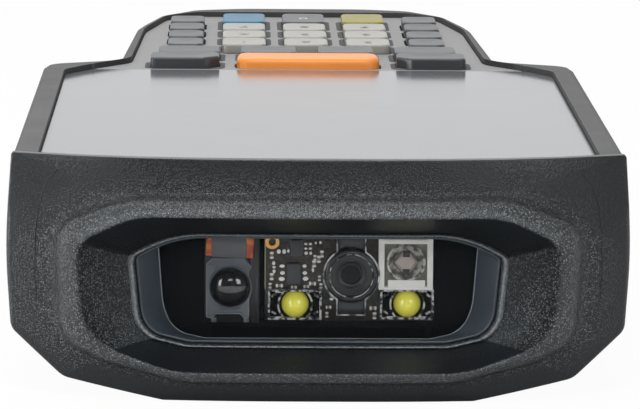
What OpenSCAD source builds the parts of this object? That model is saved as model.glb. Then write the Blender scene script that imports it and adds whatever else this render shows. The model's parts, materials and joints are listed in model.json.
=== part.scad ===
// Handheld terminal: a pocket computer with a display, a keypad and a scan engine in its nose.
// It lies on its back, with the scan window facing -Y, the keypad at +Y and the display up.
// Lengths are in millimetres. Sub-parts are drawn with y = 0 at the nose crest, and moved
// together so that the origin is at the middle of the footprint, on the supporting surface.

/* [Body] */
// Greatest width of the head, across the bulge of its sides
head_w = 80.2; // [79:0.2:84]
// Length from the nose crest to the tail
body_l = 197; // [195:1:204]
// Height from the supporting surface to the rim around the display
body_h = 31; // [30.8:0.1:32]
// Distance from the nose crest to the shoulders
head_l = 113; // [112:0.5:115]
// Width of the grip just behind the shoulders
neck_w = 58; // [57:0.5:60]
// Length of the shoulders along the body
shoulder_l = 5.9; // [4:0.5:8]
// Height of the widest line of the sides
bulge_z = 18.8; // [18.6:0.1:19.4]
// Radius of the bulge of the sides
bulge_r = 70; // [40:5:80]
// Sideways lean of the sides above and below their bulge
side_draft = 0.07; // [0.06:0.005:0.08]
// Height of the upper edge of the slanted lower sides
chin_z = 8.3; // [7.6:0.1:9]
// How far in the lower edge of the slanted sides lies
chin_in = 7.5; // [6.5:0.25:8.5]
// Height of the lower edge of the slanted sides
sole_z = 2.5; // [2.3:0.1:2.8]
// Width of the flat strip that the head rests on
sole_w = 39.4; // [34:1:44]

/* [Housings] */
// Thickness of the housing walls
wall = 2.2; // [1.9:0.1:2.5]
// Height at which the two housings meet
split_z = 18; // [17.5:0.25:18.5]
// Length of the nose cap along the body
cap_l = 26; // [25:0.5:28]
// Height of the seat that the front housing takes on the nose cap
cap_seat_z = 24; // [23.8:0.1:24.4]
// Running clearance around pieces that move or are fitted
fit = 0.3; // [0.2:0.05:0.35]

/* [Nose] */
// How far the middle of the nose stands forward of its corners
nose_bow = 6.4; // [5:0.2:7]
// Setback of the nose's top edge behind the crest
edge_y = 4.1; // [3.8:0.1:4.6]
// Thickness of the lip in front of the display glass
lip_t = 1.4; // [1.2:0.1:1.6]
// Setback of the foot of the raised rim behind the crest
rim_y = 3.4; // [3:0.1:3.7]
// Width of the raised rim at its foot
rim_w = 67.8; // [66:0.2:69]
// Top of the raised rim
rim_top = 26.4; // [26:0.1:27]
// Bottom of the raised rim
rim_bottom = 2.5; // [2.2:0.1:2.8]
// Width across the crest of the rim
crest_w = 62; // [60:0.5:63.5]
// Top of the crest
crest_top = 24.1; // [23.6:0.1:24.6]
// Bottom of the crest
crest_bottom = 4.2; // [3.8:0.1:4.5]
// Width of the mouth's walls beside the scan window, both together
mouth_walls_w = 8; // [7.4:0.2:8.6]
// Top of the mouth
lip_top = 20.9; // [20.6:0.1:21]
// Bottom of the mouth
lip_bottom = 6; // [5.8:0.1:6.2]
// Setback of the mouth behind the crest
lip_y = 9; // [8:0.25:9.3]

/* [Scan window] */
// Width of the clear opening in front of the scan engine
opening_w = 41.2; // [40:0.2:42]
// Top of the clear opening
opening_top = 20; // [19.6:0.1:20.1]
// Bottom of the clear opening
opening_bottom = 6.5; // [6.4:0.1:6.8]
// Setback of the seat that the window frame bears on
seat_y = 14; // [13.7:0.1:14.5]
// Thickness of the scan window
window_t = 1.3; // [1:0.1:1.5]
// Overlap of the scan window on its frame
window_lap = 1.2; // [0.8:0.1:1.4]
// Thickness of the soft seal behind the scan window
seal_t = 0.6; // [0.4:0.1:0.8]

/* [Scan engine] */
// Width of the main camera module
engine_w = 21.8; // [21.4:0.1:22.4]
// Height of both camera modules
engine_h = 12; // [11.8:0.1:12.2]
// Depth of both camera modules behind the board
engine_l = 12; // [10:0.5:14]
// Height of the underside of the modules
engine_z = 7.8; // [7.4:0.1:8]
// Setback of the front face of the engine board
board_y = 20.4; // [20:0.1:21]
// Thickness of the engine board
engine_board_t = 0.8; // [0.6:0.1:1]
// Left edge of the main camera module
engine_x = -6.8; // [-7:0.1:-6.6]
// Width of the far camera module
far_w = 7.1; // [6.8:0.1:7.3]
// Gap between the two modules
far_gap = 0.6; // [0.4:0.1:0.8]
// Diameter of the main camera's barrel
barrel_d = 7.1; // [6.8:0.1:7.3]
// Diameter of the domes on the lamps
dome_d = 3.5; // [3.2:0.1:3.6]
// Diameter of the far camera's lens
far_lens_d = 5.2; // [4.8:0.1:5.4]
// Thickness of the sheet walls of the dark box around the engine
shield_t = 1.2; // [1:0.1:1.4]
// Room beside the scan window in the dark box around the engine, both sides together
shield_room_w = 8.8; // [8.4:0.1:9.2]
// Depth of the dark box around the engine
shield_l = 20; // [19:0.5:21]

/* [Display] */
// Width of the display glass
glass_w = 71.4; // [70.4:0.2:71.8]
// Thickness of the display glass
glass_t = 1.3; // [1:0.1:1.4]
// Depth of the glass below the rim
glass_drop = 0.8; // [0.6:0.1:1]
// Thickness of the adhesive gasket under the glass
gasket_t = 0.3; // [0.2:0.1:0.4]
// Width of the display panel
panel_w = 64.8; // [62:0.2:65]
// Thickness of the display panel
panel_t = 3.4; // [3:0.1:3.5]
// Thickness of the main board
main_board_t = 1.2; // [1:0.1:1.4]

/* [Keypad] */
// Height of the keys over the keypad plate
key_h = 1.4; // [1:0.1:1.8]
// Height of the scan key and its neighbours over the plate
scan_key_h = 1.65; // [1.2:0.05:2]
// Travel of each key
key_travel = 0.6; // [0.4:0.05:0.65]
// Thickness of the flange that holds each key under the plate
flange_t = 0.6; // [0.5:0.05:0.65]
// Width of the flange around each key
flange_w = 0.6; // [0.5:0.05:0.7]
// Gap between the rows of keys
row_gap = 2.1; // [2:0.1:3]
// Distance from the last side keys to the tail
keypad_margin = 19.2; // [18.8:0.1:21]
// Length of the scan key along the body
scan_key_l = 7.65; // [7.2:0.05:7.8]
// Width of the scan key
scan_key_w = 21.2; // [20.4:0.1:21.6]
// Distance between the columns of number keys
column_pitch = 9.5; // [9.3:0.1:9.7]
// Width of the number keys
number_key_w = 6.7; // [6.2:0.1:6.9]
// Width of the keys at both sides
side_key_w = 5.4; // [5:0.1:5.6]
// Corner radius of the keys
key_r = 1.2; // [0.8:0.1:1.5]
// Play between a pressed key's flange and the soft mat
mat_play = 0.2; // [0.1:0.05:0.3]

/* [Battery and latch] */
// Width of the battery pack
battery_w = 42.6; // [41:0.2:43]
// Distance from the battery pack to the tail
battery_margin = 18; // [17.5:0.25:19]
// Height of the battery pack
battery_h = 13; // [12:0.25:13.2]
// Distance from the nose crest to the battery pack
battery_y = 119; // [118.6:0.2:119.4]
// Travel of the battery latch
latch_travel = 1.9; // [1.8:0.05:2.1]
// Width of the battery latch
latch_w = 15; // [13:0.5:17]

/* [Side triggers] */
// Length of the side triggers
trigger_l = 24; // [20:0.5:28]
// Height of the side triggers
trigger_h = 5.4; // [4.8:0.1:5.6]
// Distance from the nose crest to the middle of the side triggers
trigger_y = 62; // [58:0.5:66]
// Travel of the side triggers, which stand out of the sides a little more
trigger_travel = 0.4; // [0.3:0.05:0.5]

/* [Fasteners and connector] */
// Diameter of the screws' shanks
screw_d = 2; // [1.8:0.1:2.2]
// Diameter of the screws' heads
screw_head_d = 4.2; // [3.8:0.1:4.4]
// Height of the shoulders that the screws' heads bear on
screw_seat_z = 8.5; // [8:0.1:9]
// Width of the dock connector
dock_w = 18; // [16:0.5:19]
// Height of the dock connector
dock_h = 4.5; // [4:0.1:4.8]

/* [Hidden] */
// Points per rounded corner, and the facets of round pieces
corner_n = 5;
$fn = 48;
// Far enough past any face to cut it clean
past = 0.5;
// Larger than the body in every direction
big = 300;

head_half = head_w / 2;
neck_half = neck_w / 2;
sole_half = sole_w / 2;
rail_w = 2.7;
glass_top = body_h - glass_drop;
glass_bottom = glass_top - glass_t;
shelf_z = glass_bottom - gasket_t;
shelf_t = 1.8;
ceiling_z = shelf_z - shelf_t;
plate_bottom = shelf_z;
plate_t = glass_top - plate_bottom;
cap_inner_z = cap_seat_z - wall;
corner_x = 39;

// Inset at height z of the straight sides that the bulge rounds
function side_line(z) = side_draft * abs(bulge_z - z);
// Inset of the sides at height z
bulge_h = bulge_r * side_draft;
function side_inset(z) = abs(bulge_z - z) > bulge_h ? side_line(z)
    : (bulge_h * side_draft + pow(bulge_z - z, 2) / bulge_r) / 2;

// A unit vector
function unit(v) = v / norm(v);
// The z of the cross product of two plane vectors
function turn(u, v) = u[0] * v[1] - u[1] * v[0];
// The arc of radius r that rounds corner b between a and c, as n points
function fillet(a, b, c, r, n) =
    let (u = unit([a[0] - b[0], a[1] - b[1]]), v = unit([c[0] - b[0], c[1] - b[1]]),
         half = acos(max(-1, min(1, u * v))) / 2,
         centre = [b[0], b[1]] + unit(u + v) * r / sin(half),
         side = turn(u, v) < 0 ? 1 : -1,
         start = [b[0], b[1]] + u * r / tan(half) - centre,
         first = atan2(start[1], start[0]),
         sweep = side * (180 - 2 * half))
    [for (i = [0:n - 1]) centre + r * [cos(first + sweep * i / (n - 1)), sin(first + sweep * i / (n - 1))]];
// A closed outline of corners [x, y, radius], with each corner rounded
function rounded(corners, n = corner_n) =
    let (m = len(corners))
    [for (i = [0:m - 1]) each
        fillet(corners[(i + m - 1) % m], corners[i], corners[(i + 1) % m], corners[i][2], n)];
// The corners of a symmetric outline from those of its right half
function mirrored(half) =
    concat(half, [for (i = [len(half) - 1:-1:0]) [-half[i][0], half[i][1], half[i][2]]]);
// Twice the signed area of a list of corners
function doubled_area(corners) =
    let (m = len(corners))
    [for (i = [0:m - 1]) turn(corners[i], corners[(i + 1) % m])] * [for (i = [0:m - 1]) 1];
// The corners moved in by d, with each radius kept concentric
function inset(corners, d) =
    let (m = len(corners), s = doubled_area(corners) > 0 ? 1 : -1)
    [for (i = [0:m - 1])
        let (a = corners[(i + m - 1) % m], b = corners[i], c = corners[(i + 1) % m],
             e = unit([b[0] - a[0], b[1] - a[1]]), f = unit([c[0] - b[0], c[1] - b[1]]),
             p = s * [-e[1], e[0]], q = s * [-f[1], f[0]],
             shift = (p + q) / (1 + p * q) * d,
             convex = s * turn(e, f) > 0)
        [b[0] + shift[0], b[1] + shift[1], max(0.4, convex ? b[2] - d : b[2] + d)]];
// The four corners of a rectangle, with radius r
function rectangle(x0, x1, y0, y1, r) = [[x0, y0, r], [x1, y0, r], [x1, y1, r], [x0, y1, r]];
// The points between two outlines of like count, a share t of the way
function between(a, b, t) = [for (i = [0:len(a) - 1]) a[i] * (1 - t) + b[i] * t];

// Faces that join ring a to ring b of n points each
function band(n, a, b) = [for (j = [0:n - 1]) each
    let (k = (j + 1) % n) [[a * n + j, b * n + j, b * n + k], [a * n + j, b * n + k, a * n + k]]];
// A solid through a stack of rings, closed at both ends
module loft(rings) {
    n = len(rings[0]);
    m = len(rings);
    polyhedron(
        points = [for (ring = rings) each ring],
        faces = concat(
            [for (i = [0:m - 2]) each band(n, i, i + 1)],
            [[for (j = [0:n - 1]) j], [for (j = [n - 1:-1:0]) (m - 1) * n + j]]));
}
// A solid frame through rings that run around its section and close on themselves
module frame_loft(rings) {
    n = len(rings[0]);
    m = len(rings);
    polyhedron(
        points = [for (ring = rings) each ring],
        faces = [for (i = [0:m - 1]) each band(n, i, (i + 1) % m)]);
}
// A solid whose plan is inset by a given amount at each height, from levels [z, inset]
module crowned(corners, levels, n = corner_n) {
    loft([for (level = levels) [for (p = rounded(inset(corners, level[1]), n)) [p[0], p[1], level[0]]]]);
}
// The same solid, with its first and its last slope run on and cut off flat at their levels
module trimmed(corners, levels, n) {
    m = len(levels);
    first = levels[0];
    last = levels[m - 1];
    low = first - (levels[1] - first) * past / (levels[1][0] - first[0]);
    high = last + (last - levels[m - 2]) * past / (last[0] - levels[m - 2][0]);
    difference() {
        crowned(corners, concat([low], [for (i = [1:m - 2]) levels[i]], [high]), n);
        box([-big, -big, first[0] - 2 * past], [big, big, first[0]]);
        box([-big, -big, last[0]], [big, big, last[0] + 2 * past]);
    }
}
// An upright prism of an outline
module prism(points, z0, z1) {
    translate([0, 0, z0]) linear_extrude(z1 - z0) polygon(points);
}
// A prism along the body of an outline in x and z
module prism_y(points, y0, y1) {
    translate([0, y1, 0]) rotate([90, 0, 0]) linear_extrude(y1 - y0) polygon(points);
}
// A prism across the body of an outline in y and z
module prism_x(points, x0, x1) {
    translate([x0, 0, 0]) rotate([90, 0, 90]) linear_extrude(x1 - x0) polygon(points);
}
// A box from its lowest to its highest corner
module box(a, b) {
    translate(a) cube(b - a);
}
// A copy on each side of the body
module both_sides() {
    children();
    mirror([1, 0, 0]) children();
}
// A round piece whose axis runs along the body, with its front at y
module along_y(x, y, z) {
    translate([x, y, z]) rotate([-90, 0, 0]) children();
}
// Places drawn from the nose, moved to the middle of the footprint
module placed() {
    translate([0, -body_l / 2, 0]) children();
}

// Plan of the body, from ahead of the nose along the right side to the tail
front_y = -12;
shoulder_r = 6;
tail_taper = [[1.6, 31, 40], [4.6, 13.5, 12], [10.5, 3, 6], [19, 0, 14]];
plan = mirrored(concat(
    [[head_half, front_y, 2], [head_half, head_l, shoulder_r], [neck_half, head_l + shoulder_l, shoulder_r]],
    [for (t = tail_taper) [neck_half - t[0], body_l - t[1], t[2]]]));

plan_n = 7;

// Section of the head, from the top down the right side, cut at height top_z
hollow_bulge_r = 20;
chin_r = 2;
sole_r = 3;
edge_r = 0.5;
lower_section = [
    [head_half - side_line(chin_z), chin_z, chin_r],
    [head_half - chin_in, sole_z, sole_r],
    [sole_half, 0, sole_r]];
function section(top_z, r = bulge_r) = mirrored(concat(
    [[head_half - side_line(top_z), top_z, edge_r], [head_half, bulge_z, r]],
    lower_section));

// Levels [z, inset] of the lower sides, rounded as the section is
level_n = 3;
bulge = [head_half, bulge_z];
function side_levels(heights) = [for (z = heights) [z, side_inset(z)]];
function levels_of(a, b, c, r) = let (arc = fillet(a, b, c, r, level_n))
    [for (i = [level_n - 1:-1:0]) [arc[i][1], head_half - arc[i][0]]];
chin_levels = levels_of(bulge, lower_section[0], lower_section[1], chin_r);
sole_levels = levels_of(lower_section[0], lower_section[1], lower_section[2], sole_r);
base_z = sole_levels[0][0];
low_levels = concat(sole_levels, chin_levels,
    side_levels([bulge_z - bulge_h, bulge_z - bulge_h / 2, split_z]));
rim_in = side_inset(body_h);
top_levels = concat(side_levels([split_z, bulge_z + bulge_h / 4, bulge_z + bulge_h * 0.6, bulge_z + bulge_h]),
    [[body_h - 3 * edge_r, rim_in - 0.1], [body_h - edge_r, rim_in + edge_r * 0.5],
        [body_h, rim_in + 2 * edge_r]]);

// The strip under the head, as a section that is sunk into the body
sole_slope = sole_z / (head_half - chin_in - sole_half);
sole_x = head_half - sole_levels[0][1] - 0.3;
function sole_line(x) = max(0, x - sole_half) * sole_slope;
sole_section = mirrored([
    [sole_x, base_z + 1, 0.3], [sole_x, sole_line(sole_x), 0.3], [sole_half, 0, sole_r]]);

// Outlines of the nose, as shares of half the width and of the height, with corner radii
RIM = [[0.708, 1, 15], [1, 0.845, 1.6], [0.979, 0.209, 2], [0.826, 0.109, 5], [0.5, 0, 10]];
CREST = [[0.758, 1, 12], [1, 0.818, 1.4], [0.974, 0.283, 1.4], [0.852, 0.136, 4], [0.597, 0, 6]];
MOUTH = [[0.77, 1, 16], [1, 0.79, 1.5], [0.962, 0.18, 3], [0.874, 0.067, 2], [0.691, 0, 5]];
OPENING = [[0.825, 1, 3], [1, 0.938, 1], [0.966, 0.277, 4], [0.888, 0.062, 2], [0.704, 0, 3]];
function nose_outline(shape, w, top, bottom) = mirrored(
    [for (c = shape) [c[0] * w / 2, bottom + c[1] * (top - bottom), c[2]]]);
lip_w = opening_w + mouth_walls_w;
rim = nose_outline(RIM, rim_w, rim_top, rim_bottom);
crest = nose_outline(CREST, crest_w, crest_top, crest_bottom);
mouth = nose_outline(MOUTH, lip_w, lip_top, lip_bottom);
opening = nose_outline(OPENING, opening_w, opening_top, opening_bottom);
throat_in = 0.45;
throat = inset(mouth, throat_in);
flange_out = 1.1;

// Setback of the nose's face at x from its middle
function bow(x) = nose_bow * pow(abs(x) / corner_x, 3);
// An outline with points added along its bottom and its top edge, so that both can bow
middle_n = 9;
function with_middles(points) = let (m = len(points), h = m / 2)
    concat([for (i = [0:h - 1]) points[i]],
        [for (i = [1:middle_n]) points[h - 1] + (points[h] - points[h - 1]) * i / (middle_n + 1)],
        [for (i = [h:m - 1]) points[i]],
        [for (i = [1:middle_n]) points[m - 1] + (points[0] - points[m - 1]) * i / (middle_n + 1)]);
// A ring of outline points at setback y, bowed as the nose is
function bowed(points, y, share = 1) =
    [for (p = with_middles(points)) [p[0], y + share * bow(p[0]), p[1]]];
// The line of the lip behind the nose's top edge, moved back by d
lip_step = 4;
function lip_line(d, x_max) = let (n = round(x_max / lip_step))
    [for (i = [-n:n]) [i * x_max / n, edge_y + lip_t + d + bow(i * x_max / n)]];
// Everything behind the lip line, between two heights
module behind_lip(d, z0, z1) {
    x_max = head_half + lip_step;
    prism(concat(lip_line(d, x_max), [[x_max, body_l], [-x_max, body_l]]), z0, z1);
}
// Everything ahead of the lip line, between two heights
module ahead_of_lip(z0, z1) {
    x_max = head_half + lip_step;
    prism(concat([[-x_max, front_y - past], [x_max, front_y - past]],
        [for (p = lip_line(0, x_max)) [-p[0], p[1]]]), z0, z1);
}

module nose_cap() {
    cap_section = section(body_h);
    skin = rounded(cap_section);
    hollow = rounded(inset(section(cap_seat_z, hollow_bulge_r), wall));
    rim_ring = rounded(rim);
    crest_ring = rounded(crest);
    mouth_ring = rounded(mouth);
    throat_ring = rounded(throat);
    color("#3c3e3f") difference() {
        frame_loft([
            bowed(hollow, cap_l, 0),
            bowed(hollow, seat_y, 0),
            bowed(throat_ring, seat_y, 0),
            bowed(throat_ring, lip_y + throat_in, 0),
            bowed(mouth_ring, lip_y, 0),
            bowed(between(crest_ring, mouth_ring, 0.06), 0.35),
            bowed(crest_ring, 0),
            bowed(between(crest_ring, rim_ring, 0.4), rim_y * 0.16),
            bowed(between(crest_ring, rim_ring, 0.78), rim_y * 0.5),
            bowed(rim_ring, rim_y, 0.97),
            bowed(rounded(inset(cap_section, edge_r)), edge_y),
            bowed(rounded(inset(cap_section, edge_r * 0.3)), edge_y + edge_r * 0.4),
            bowed(skin, edge_y + edge_r * 1.2),
            bowed(skin, cap_l, 0)]);
        behind_lip(0, cap_seat_z, body_h + past);
    }
}

// Glass and keypad outlines in plan
shelf_in = 0.9;
panel_gap = 0.4;
panel_floor = glass_bottom - panel_t - panel_gap;
glass_setback = 0.8;
glass_y = head_l - glass_setback;
glass_half = glass_w / 2;
glass_corner_l = 7.2;
glass_corner_w = 3.6;
glass = mirrored([
    [glass_half, 0, 0.1],
    [glass_half, glass_y - glass_corner_l, 6],
    [glass_half - glass_corner_w, glass_y, 1]]);
glass_gap = 0.15;
gasket_in = 0.4;
plate_gap = 0.15;
plate_shoulder_l = 8.6;
plate_y = glass_y + plate_gap;
plate = mirrored([
    [glass_half - 3.7, plate_y, 0.4],
    [neck_half - rail_w, plate_y + plate_shoulder_l, 8],
    [neck_half - rail_w - 1.2, body_l - 33, 40],
    [neck_half - rail_w - 4.3, body_l - 13, 8],
    [neck_half - rail_w - 9.2, body_l - 7.4, 3]]);
display_y0 = 12.2;
display_y1 = glass_y - 6.7;
panel_opening = rectangle(-panel_w / 2 - panel_gap, panel_w / 2 + panel_gap, display_y0, display_y1, 1);

// Screws, drawn at each of their places
head_screw_x = head_half - 4.4;
front_screw_y = cap_l + 10;
rear_screw_y = glass_y - 20;
tail_screw_x = 13;
tail_screw_y = body_l - 9.5;
SCREWS = [[head_screw_x, front_screw_y], [head_screw_x, rear_screw_y], [tail_screw_x, tail_screw_y]];
module at_screws() {
    for (s = SCREWS) both_sides() translate([s[0], s[1], 0]) children();
}
boss_d = screw_d + 2.8;
screw_top = 24;

// Battery pack, its bay and its latch
battery_l = body_l - battery_y - battery_margin;
battery_half = battery_w / 2;
battery_end = battery_y + battery_l;
battery = mirrored([
    [battery_half, battery_y, 1.5],
    [battery_half - 0.7, battery_end - 14, 20],
    [battery_half - 4.3, battery_end, 3]]);
bay_t = 1.2;
latch_y = battery_end + fit + bay_t + fit;
latch_l = 3.8;
latch_z = base_z;
latch_h = 2.7;
tongue_w = 10;
tongue_in = 1;
tongue_z = latch_z + 1.2;
tongue_t = latch_h - 1.2;
pocket_end = latch_y + latch_l + latch_travel + fit;

// The finger scoop behind the head
scoop_y = head_l - 5;
scoop_r = 12;
scoop_z = 6;
sole_gap = 9.5;
sole_end = scoop_y - sole_gap;

// Dock connector in the tail
dock_z = 8.6;
dock_sunk = 1.7;
dock_l = 4.3;
dock_y1 = body_l - dock_sunk;
dock_y0 = dock_y1 - dock_l;

module front_housing() {
    color("#78797a") difference() {
        trimmed(plan, top_levels, plan_n);
        // Room for the nose cap
        box([-big, front_y - past, split_z - past], [big, cap_l, cap_seat_z]);
        ahead_of_lip(split_z - 2 * past, body_h + past);
        // Inside of the shell, around the screw bosses
        difference() {
            prism(rounded(inset(hollow_plan, wall + side_inset(split_z)), plan_n), split_z - past, ceiling_z);
            at_screws() cylinder(d = boss_d, h = body_h);
        }
        // Openings for the panel, the glass, the keypad plate and the keys
        prism(rounded(panel_opening),
            panel_floor, shelf_z + past);
        prism(rounded(inset(glass, -glass_gap)), shelf_z, body_h + past);
        prism(rounded(inset(plate, -plate_gap)), plate_bottom, body_h + past);
        prism(rounded(inset(plate, shelf_in)), ceiling_z - past, plate_bottom + past);
        // Side trigger openings
        both_sides() box(
            [head_half - 2 * wall, trigger_y - trigger_l / 2 - fit, trigger_z - trigger_h / 2 - fit],
            [head_half + past, trigger_y + trigger_l / 2 + fit, trigger_z + trigger_h / 2 + fit]);
        // Pilot holes for the screws
        at_screws() translate([0, 0, split_z - past])
            cylinder(d = screw_d + 0.1, h = screw_top - split_z + 2 * past);
    }
}
// Plan of the room inside the front housing, before it is inset
hollow_plan = concat([[head_half, seat_y - wall, 3]],
    [for (i = [1:len(plan) - 2]) plan[i]], [[-head_half, seat_y - wall, 3]]);

module sole() {
    difference() {
        prism_y(rounded(sole_section), cap_l - past, sole_end + 4);
        prism_x([[sole_end - 3, -past], [sole_end + 3, base_z + 2], [scoop_y, base_z + 2], [scoop_y, -past]],
            -head_half, head_half);
    }
}
module scoop(r) {
    translate([-head_half - past, scoop_y, scoop_z - scoop_r]) rotate([0, 90, 0])
        cylinder(r = r, h = head_w + 2 * past);
}

module rear_housing() {
    lower_hollow = [[sole_z + wall, chin_in + wall + 0.8], [chin_z + 1, side_inset(chin_z) + wall + 0.3],
        [split_z + past, side_inset(split_z) + wall]];
    floor_half = shield_half + 1.5;
    color("#46494b") difference() {
        union() {
            trimmed(plan, low_levels, plan_n);
            sole();
        }
        box([-big, front_y - past, -past], [big, cap_l, split_z + past]);
        // Inside of the shell, around the bosses, the posts and the battery bay
        difference() {
            union() {
                trimmed(plan, lower_hollow, plan_n);
                prism_y([[floor_half, sole_z + wall + 1], [floor_half, wall + sole_line(floor_half)],
                    [sole_half, wall], [-sole_half, wall], [-floor_half, wall + sole_line(floor_half)],
                    [-floor_half, sole_z + wall + 1]], 0, sole_end - 2 * wall);
            }
            scoop(scoop_r + wall);
            prism(rounded(inset(battery, -fit - bay_t)), 0, battery_h + fit + bay_t);
            box([-latch_w / 2 - fit - bay_t, battery_end, 0],
                [latch_w / 2 + fit + bay_t, pocket_end + bay_t, tongue_z + tongue_t + fit + bay_t]);
            at_screws() cylinder(d = boss_d + 2, h = body_h);
            at_posts() cylinder(d = post_d, h = body_h);
        }
        scoop(scoop_r);
        // Battery bay, latch pocket and the slot for the latch's tongue
        prism(rounded(inset(battery, -fit)), -past, battery_h + fit);
        box([-latch_w / 2 - fit, latch_y - fit, -past],
            [latch_w / 2 + fit, pocket_end, latch_z + latch_h + fit]);
        box([-tongue_w / 2 - fit, battery_end, tongue_z - fit],
            [tongue_w / 2 + fit, latch_y, tongue_z + tongue_t + fit]);
        // Screw holes with their counterbores
        at_screws() {
            translate([0, 0, -past]) cylinder(d = screw_head_d + 0.6, h = screw_seat_z + past);
            cylinder(d = screw_d + 0.2, h = body_h);
        }
        // Sound slots under the speaker
        for (i = [-2:2]) box([-slot_l / 2, speaker_y + i * slot_pitch - slot_w / 2, -past],
            [slot_l / 2, speaker_y + i * slot_pitch + slot_w / 2, wall + past]);
        // Dock connector
        box([-dock_w / 2, dock_y0 - past, dock_z], [dock_w / 2, body_l + past, dock_z + dock_h]);
    }
    // Posts that carry the main board
    color("#46494b") at_posts() post();
}

// Places of the posts under the main board
post_d = 4;
mat_gap = 0.4;
board_gap = 1.2;
board_z = ceiling_z - mat_gap - main_board_t - board_gap;
head_post_x = 29;
grip_post_x = 17;
front_post_y = cap_l + 19;
rear_post_y = glass_y - 15;
grip_post_y = battery_y + 12;
tail_post_y = battery_end - 10;
POSTS = [
    [head_post_x, front_post_y], [head_post_x, rear_post_y],
    [grip_post_x, grip_post_y], [grip_post_x, tail_post_y]];
module at_posts() {
    for (p = POSTS) both_sides() translate([p[0], p[1], 0]) children();
}
module post() {
    translate([0, 0, split_z - past]) cylinder(d = post_d, h = board_z - split_z + past);
}

// The speaker and its slots
speaker_gap = 27;
speaker_y = glass_y - speaker_gap;
speaker_w = 20;
speaker_l = 14;
speaker_h = 4.2;
slot_l = 12;
slot_w = 1.2;
slot_pitch = 2.6;

module window_frame() {
    tube = rounded(throat);
    front = rounded(inset(throat, 0.5));
    clear = rounded(opening);
    recess = rounded(inset(opening, -window_lap - 0.05));
    flange = rounded(inset(throat, -flange_out));
    color("#353b40") frame_loft([
        bowed(recess, window_y + window_t, 0),
        bowed(recess, window_y, 0),
        bowed(clear, window_y, 0),
        bowed(clear, seat_y, 0),
        bowed(front, lip_y + 2 * throat_in, 0),
        bowed(tube, lip_y + 2 * throat_in, 0),
        bowed(tube, seat_y, 0),
        bowed(flange, seat_y, 0),
        bowed(flange, window_y + window_t, 0)]);
}
window_y = seat_y + 0.3;
window_back = window_y + window_t;
seal_back = window_back + seal_t;

module scan_window() {
    color("#20262a") prism_y(rounded(inset(opening, -window_lap)), window_y, window_back);
}

module window_seal() {
    color("#0e0f10") frame_loft([
        bowed(rounded(inset(opening, -0.25)), seal_back, 0),
        bowed(rounded(inset(opening, -0.25)), window_back, 0),
        bowed(rounded(inset(throat, -flange_out + 0.2)), window_back, 0),
        bowed(rounded(inset(throat, -flange_out + 0.2)), seal_back, 0)]);
}

shield_half = (opening_w + shield_room_w) / 2;
shield_back = seal_back + shield_l;
floor_z = wall + sole_line(shield_half) + 0.05;
module engine_shield() {
    color("#141515") difference() {
        box([-shield_half, seal_back, floor_z], [shield_half, shield_back, cap_inner_z]);
        box([-shield_half + shield_t, seal_back - past, floor_z + shield_t],
            [shield_half - shield_t, shield_back - shield_t, cap_inner_z - shield_t]);
        box([-tail_slot_w / 2, shield_back - 2 * shield_t, engine_z],
            [tail_slot_w / 2, shield_back + past, engine_z + tail_slot_h]);
    }
}
tail_slot_w = 10;
tail_slot_h = 4;

engine_right = engine_x + engine_w;
far_x1 = engine_x - far_gap;
far_x0 = far_x1 - far_w;
engine_top = engine_z + engine_h;
chassis_y = board_y + engine_board_t;
chassis_back = chassis_y + engine_l;
bracket_t = 0.8;
module engine_bracket() {
    inner_z = floor_z + shield_t;
    color("#2a2b2c") union() {
        box([far_x0, chassis_y, engine_z - bracket_t], [engine_right, chassis_back, engine_z]);
        for (x = [far_x0, engine_right - bracket_t])
            box([x, chassis_y, inner_z], [x + bracket_t, chassis_back, engine_z]);
    }
}

barrel_x = engine_x + 11.1;
barrel_z = engine_z + 6.7;
barrel_r = barrel_d / 2;
module engine_chassis() {
    color("#2e3031") difference() {
        box([engine_x, chassis_y, engine_z], [engine_right, chassis_back, engine_top]);
        along_y(barrel_x, chassis_y - past, barrel_z) cylinder(d = barrel_d - 1.6, h = 6);
        for (z = [engine_z + 2.4, engine_top - 2.4])
            box([engine_x - past, chassis_y + 3, z - 0.5], [engine_x + 0.6, chassis_back - 2, z + 0.5]);
    }
}

module engine_board() {
    color("#2b2623") difference() {
        box([engine_x, board_y, engine_z], [engine_right, chassis_y, engine_top]);
        along_y(barrel_x, board_y - past, barrel_z)
            cylinder(d = barrel_d - 1.2, h = engine_board_t + 2 * past);
        along_y(engine_x + ring_hole_in, board_y - past, engine_top - ring_hole_d)
            cylinder(d = ring_hole_d, h = engine_board_t + 2 * past);
    }
}

ring_hole_in = 1.2;
ring_hole_d = 0.9;
CHIPS = [
    [3.6, 9.1, 1.6, 2.3], [3.1, 5.4, 1.7, 2.6], [1.7, 9.6, 0.8, 0.5],
    [1.9, 7.4, 0.6, 0.5], [5.9, 9.8, 0.6, 0.9]];
chip_h = 0.7;
module engine_chips() {
    color("#54585c") for (c = CHIPS)
        box([engine_x + c[0], board_y - chip_h, engine_z + c[1]],
            [engine_x + c[0] + c[2], board_y, engine_z + c[1] + c[3]]);
}

barrel_front = board_y - 1.9;
tab_w = 3.6;
module lens_barrel() {
    color("#1e2022") difference() {
        union() {
            along_y(barrel_x, barrel_front, barrel_z) cylinder(d = barrel_d, h = board_y - barrel_front);
            along_y(barrel_x, board_y - past, barrel_z) cylinder(d = barrel_d - 1.7, h = 2.4);
            box([barrel_x - tab_w / 2, board_y - 0.9, engine_z + 1.2],
                [barrel_x + tab_w / 2, board_y, engine_top - 0.6]);
        }
        along_y(barrel_x, barrel_front - past, barrel_z) cylinder(d = barrel_d - 1.3, h = 0.9 + past);
        along_y(barrel_x, barrel_front, barrel_z) cylinder(d = lens_d, h = 9);
    }
}
lens_d = barrel_d - 2.7;
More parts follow.
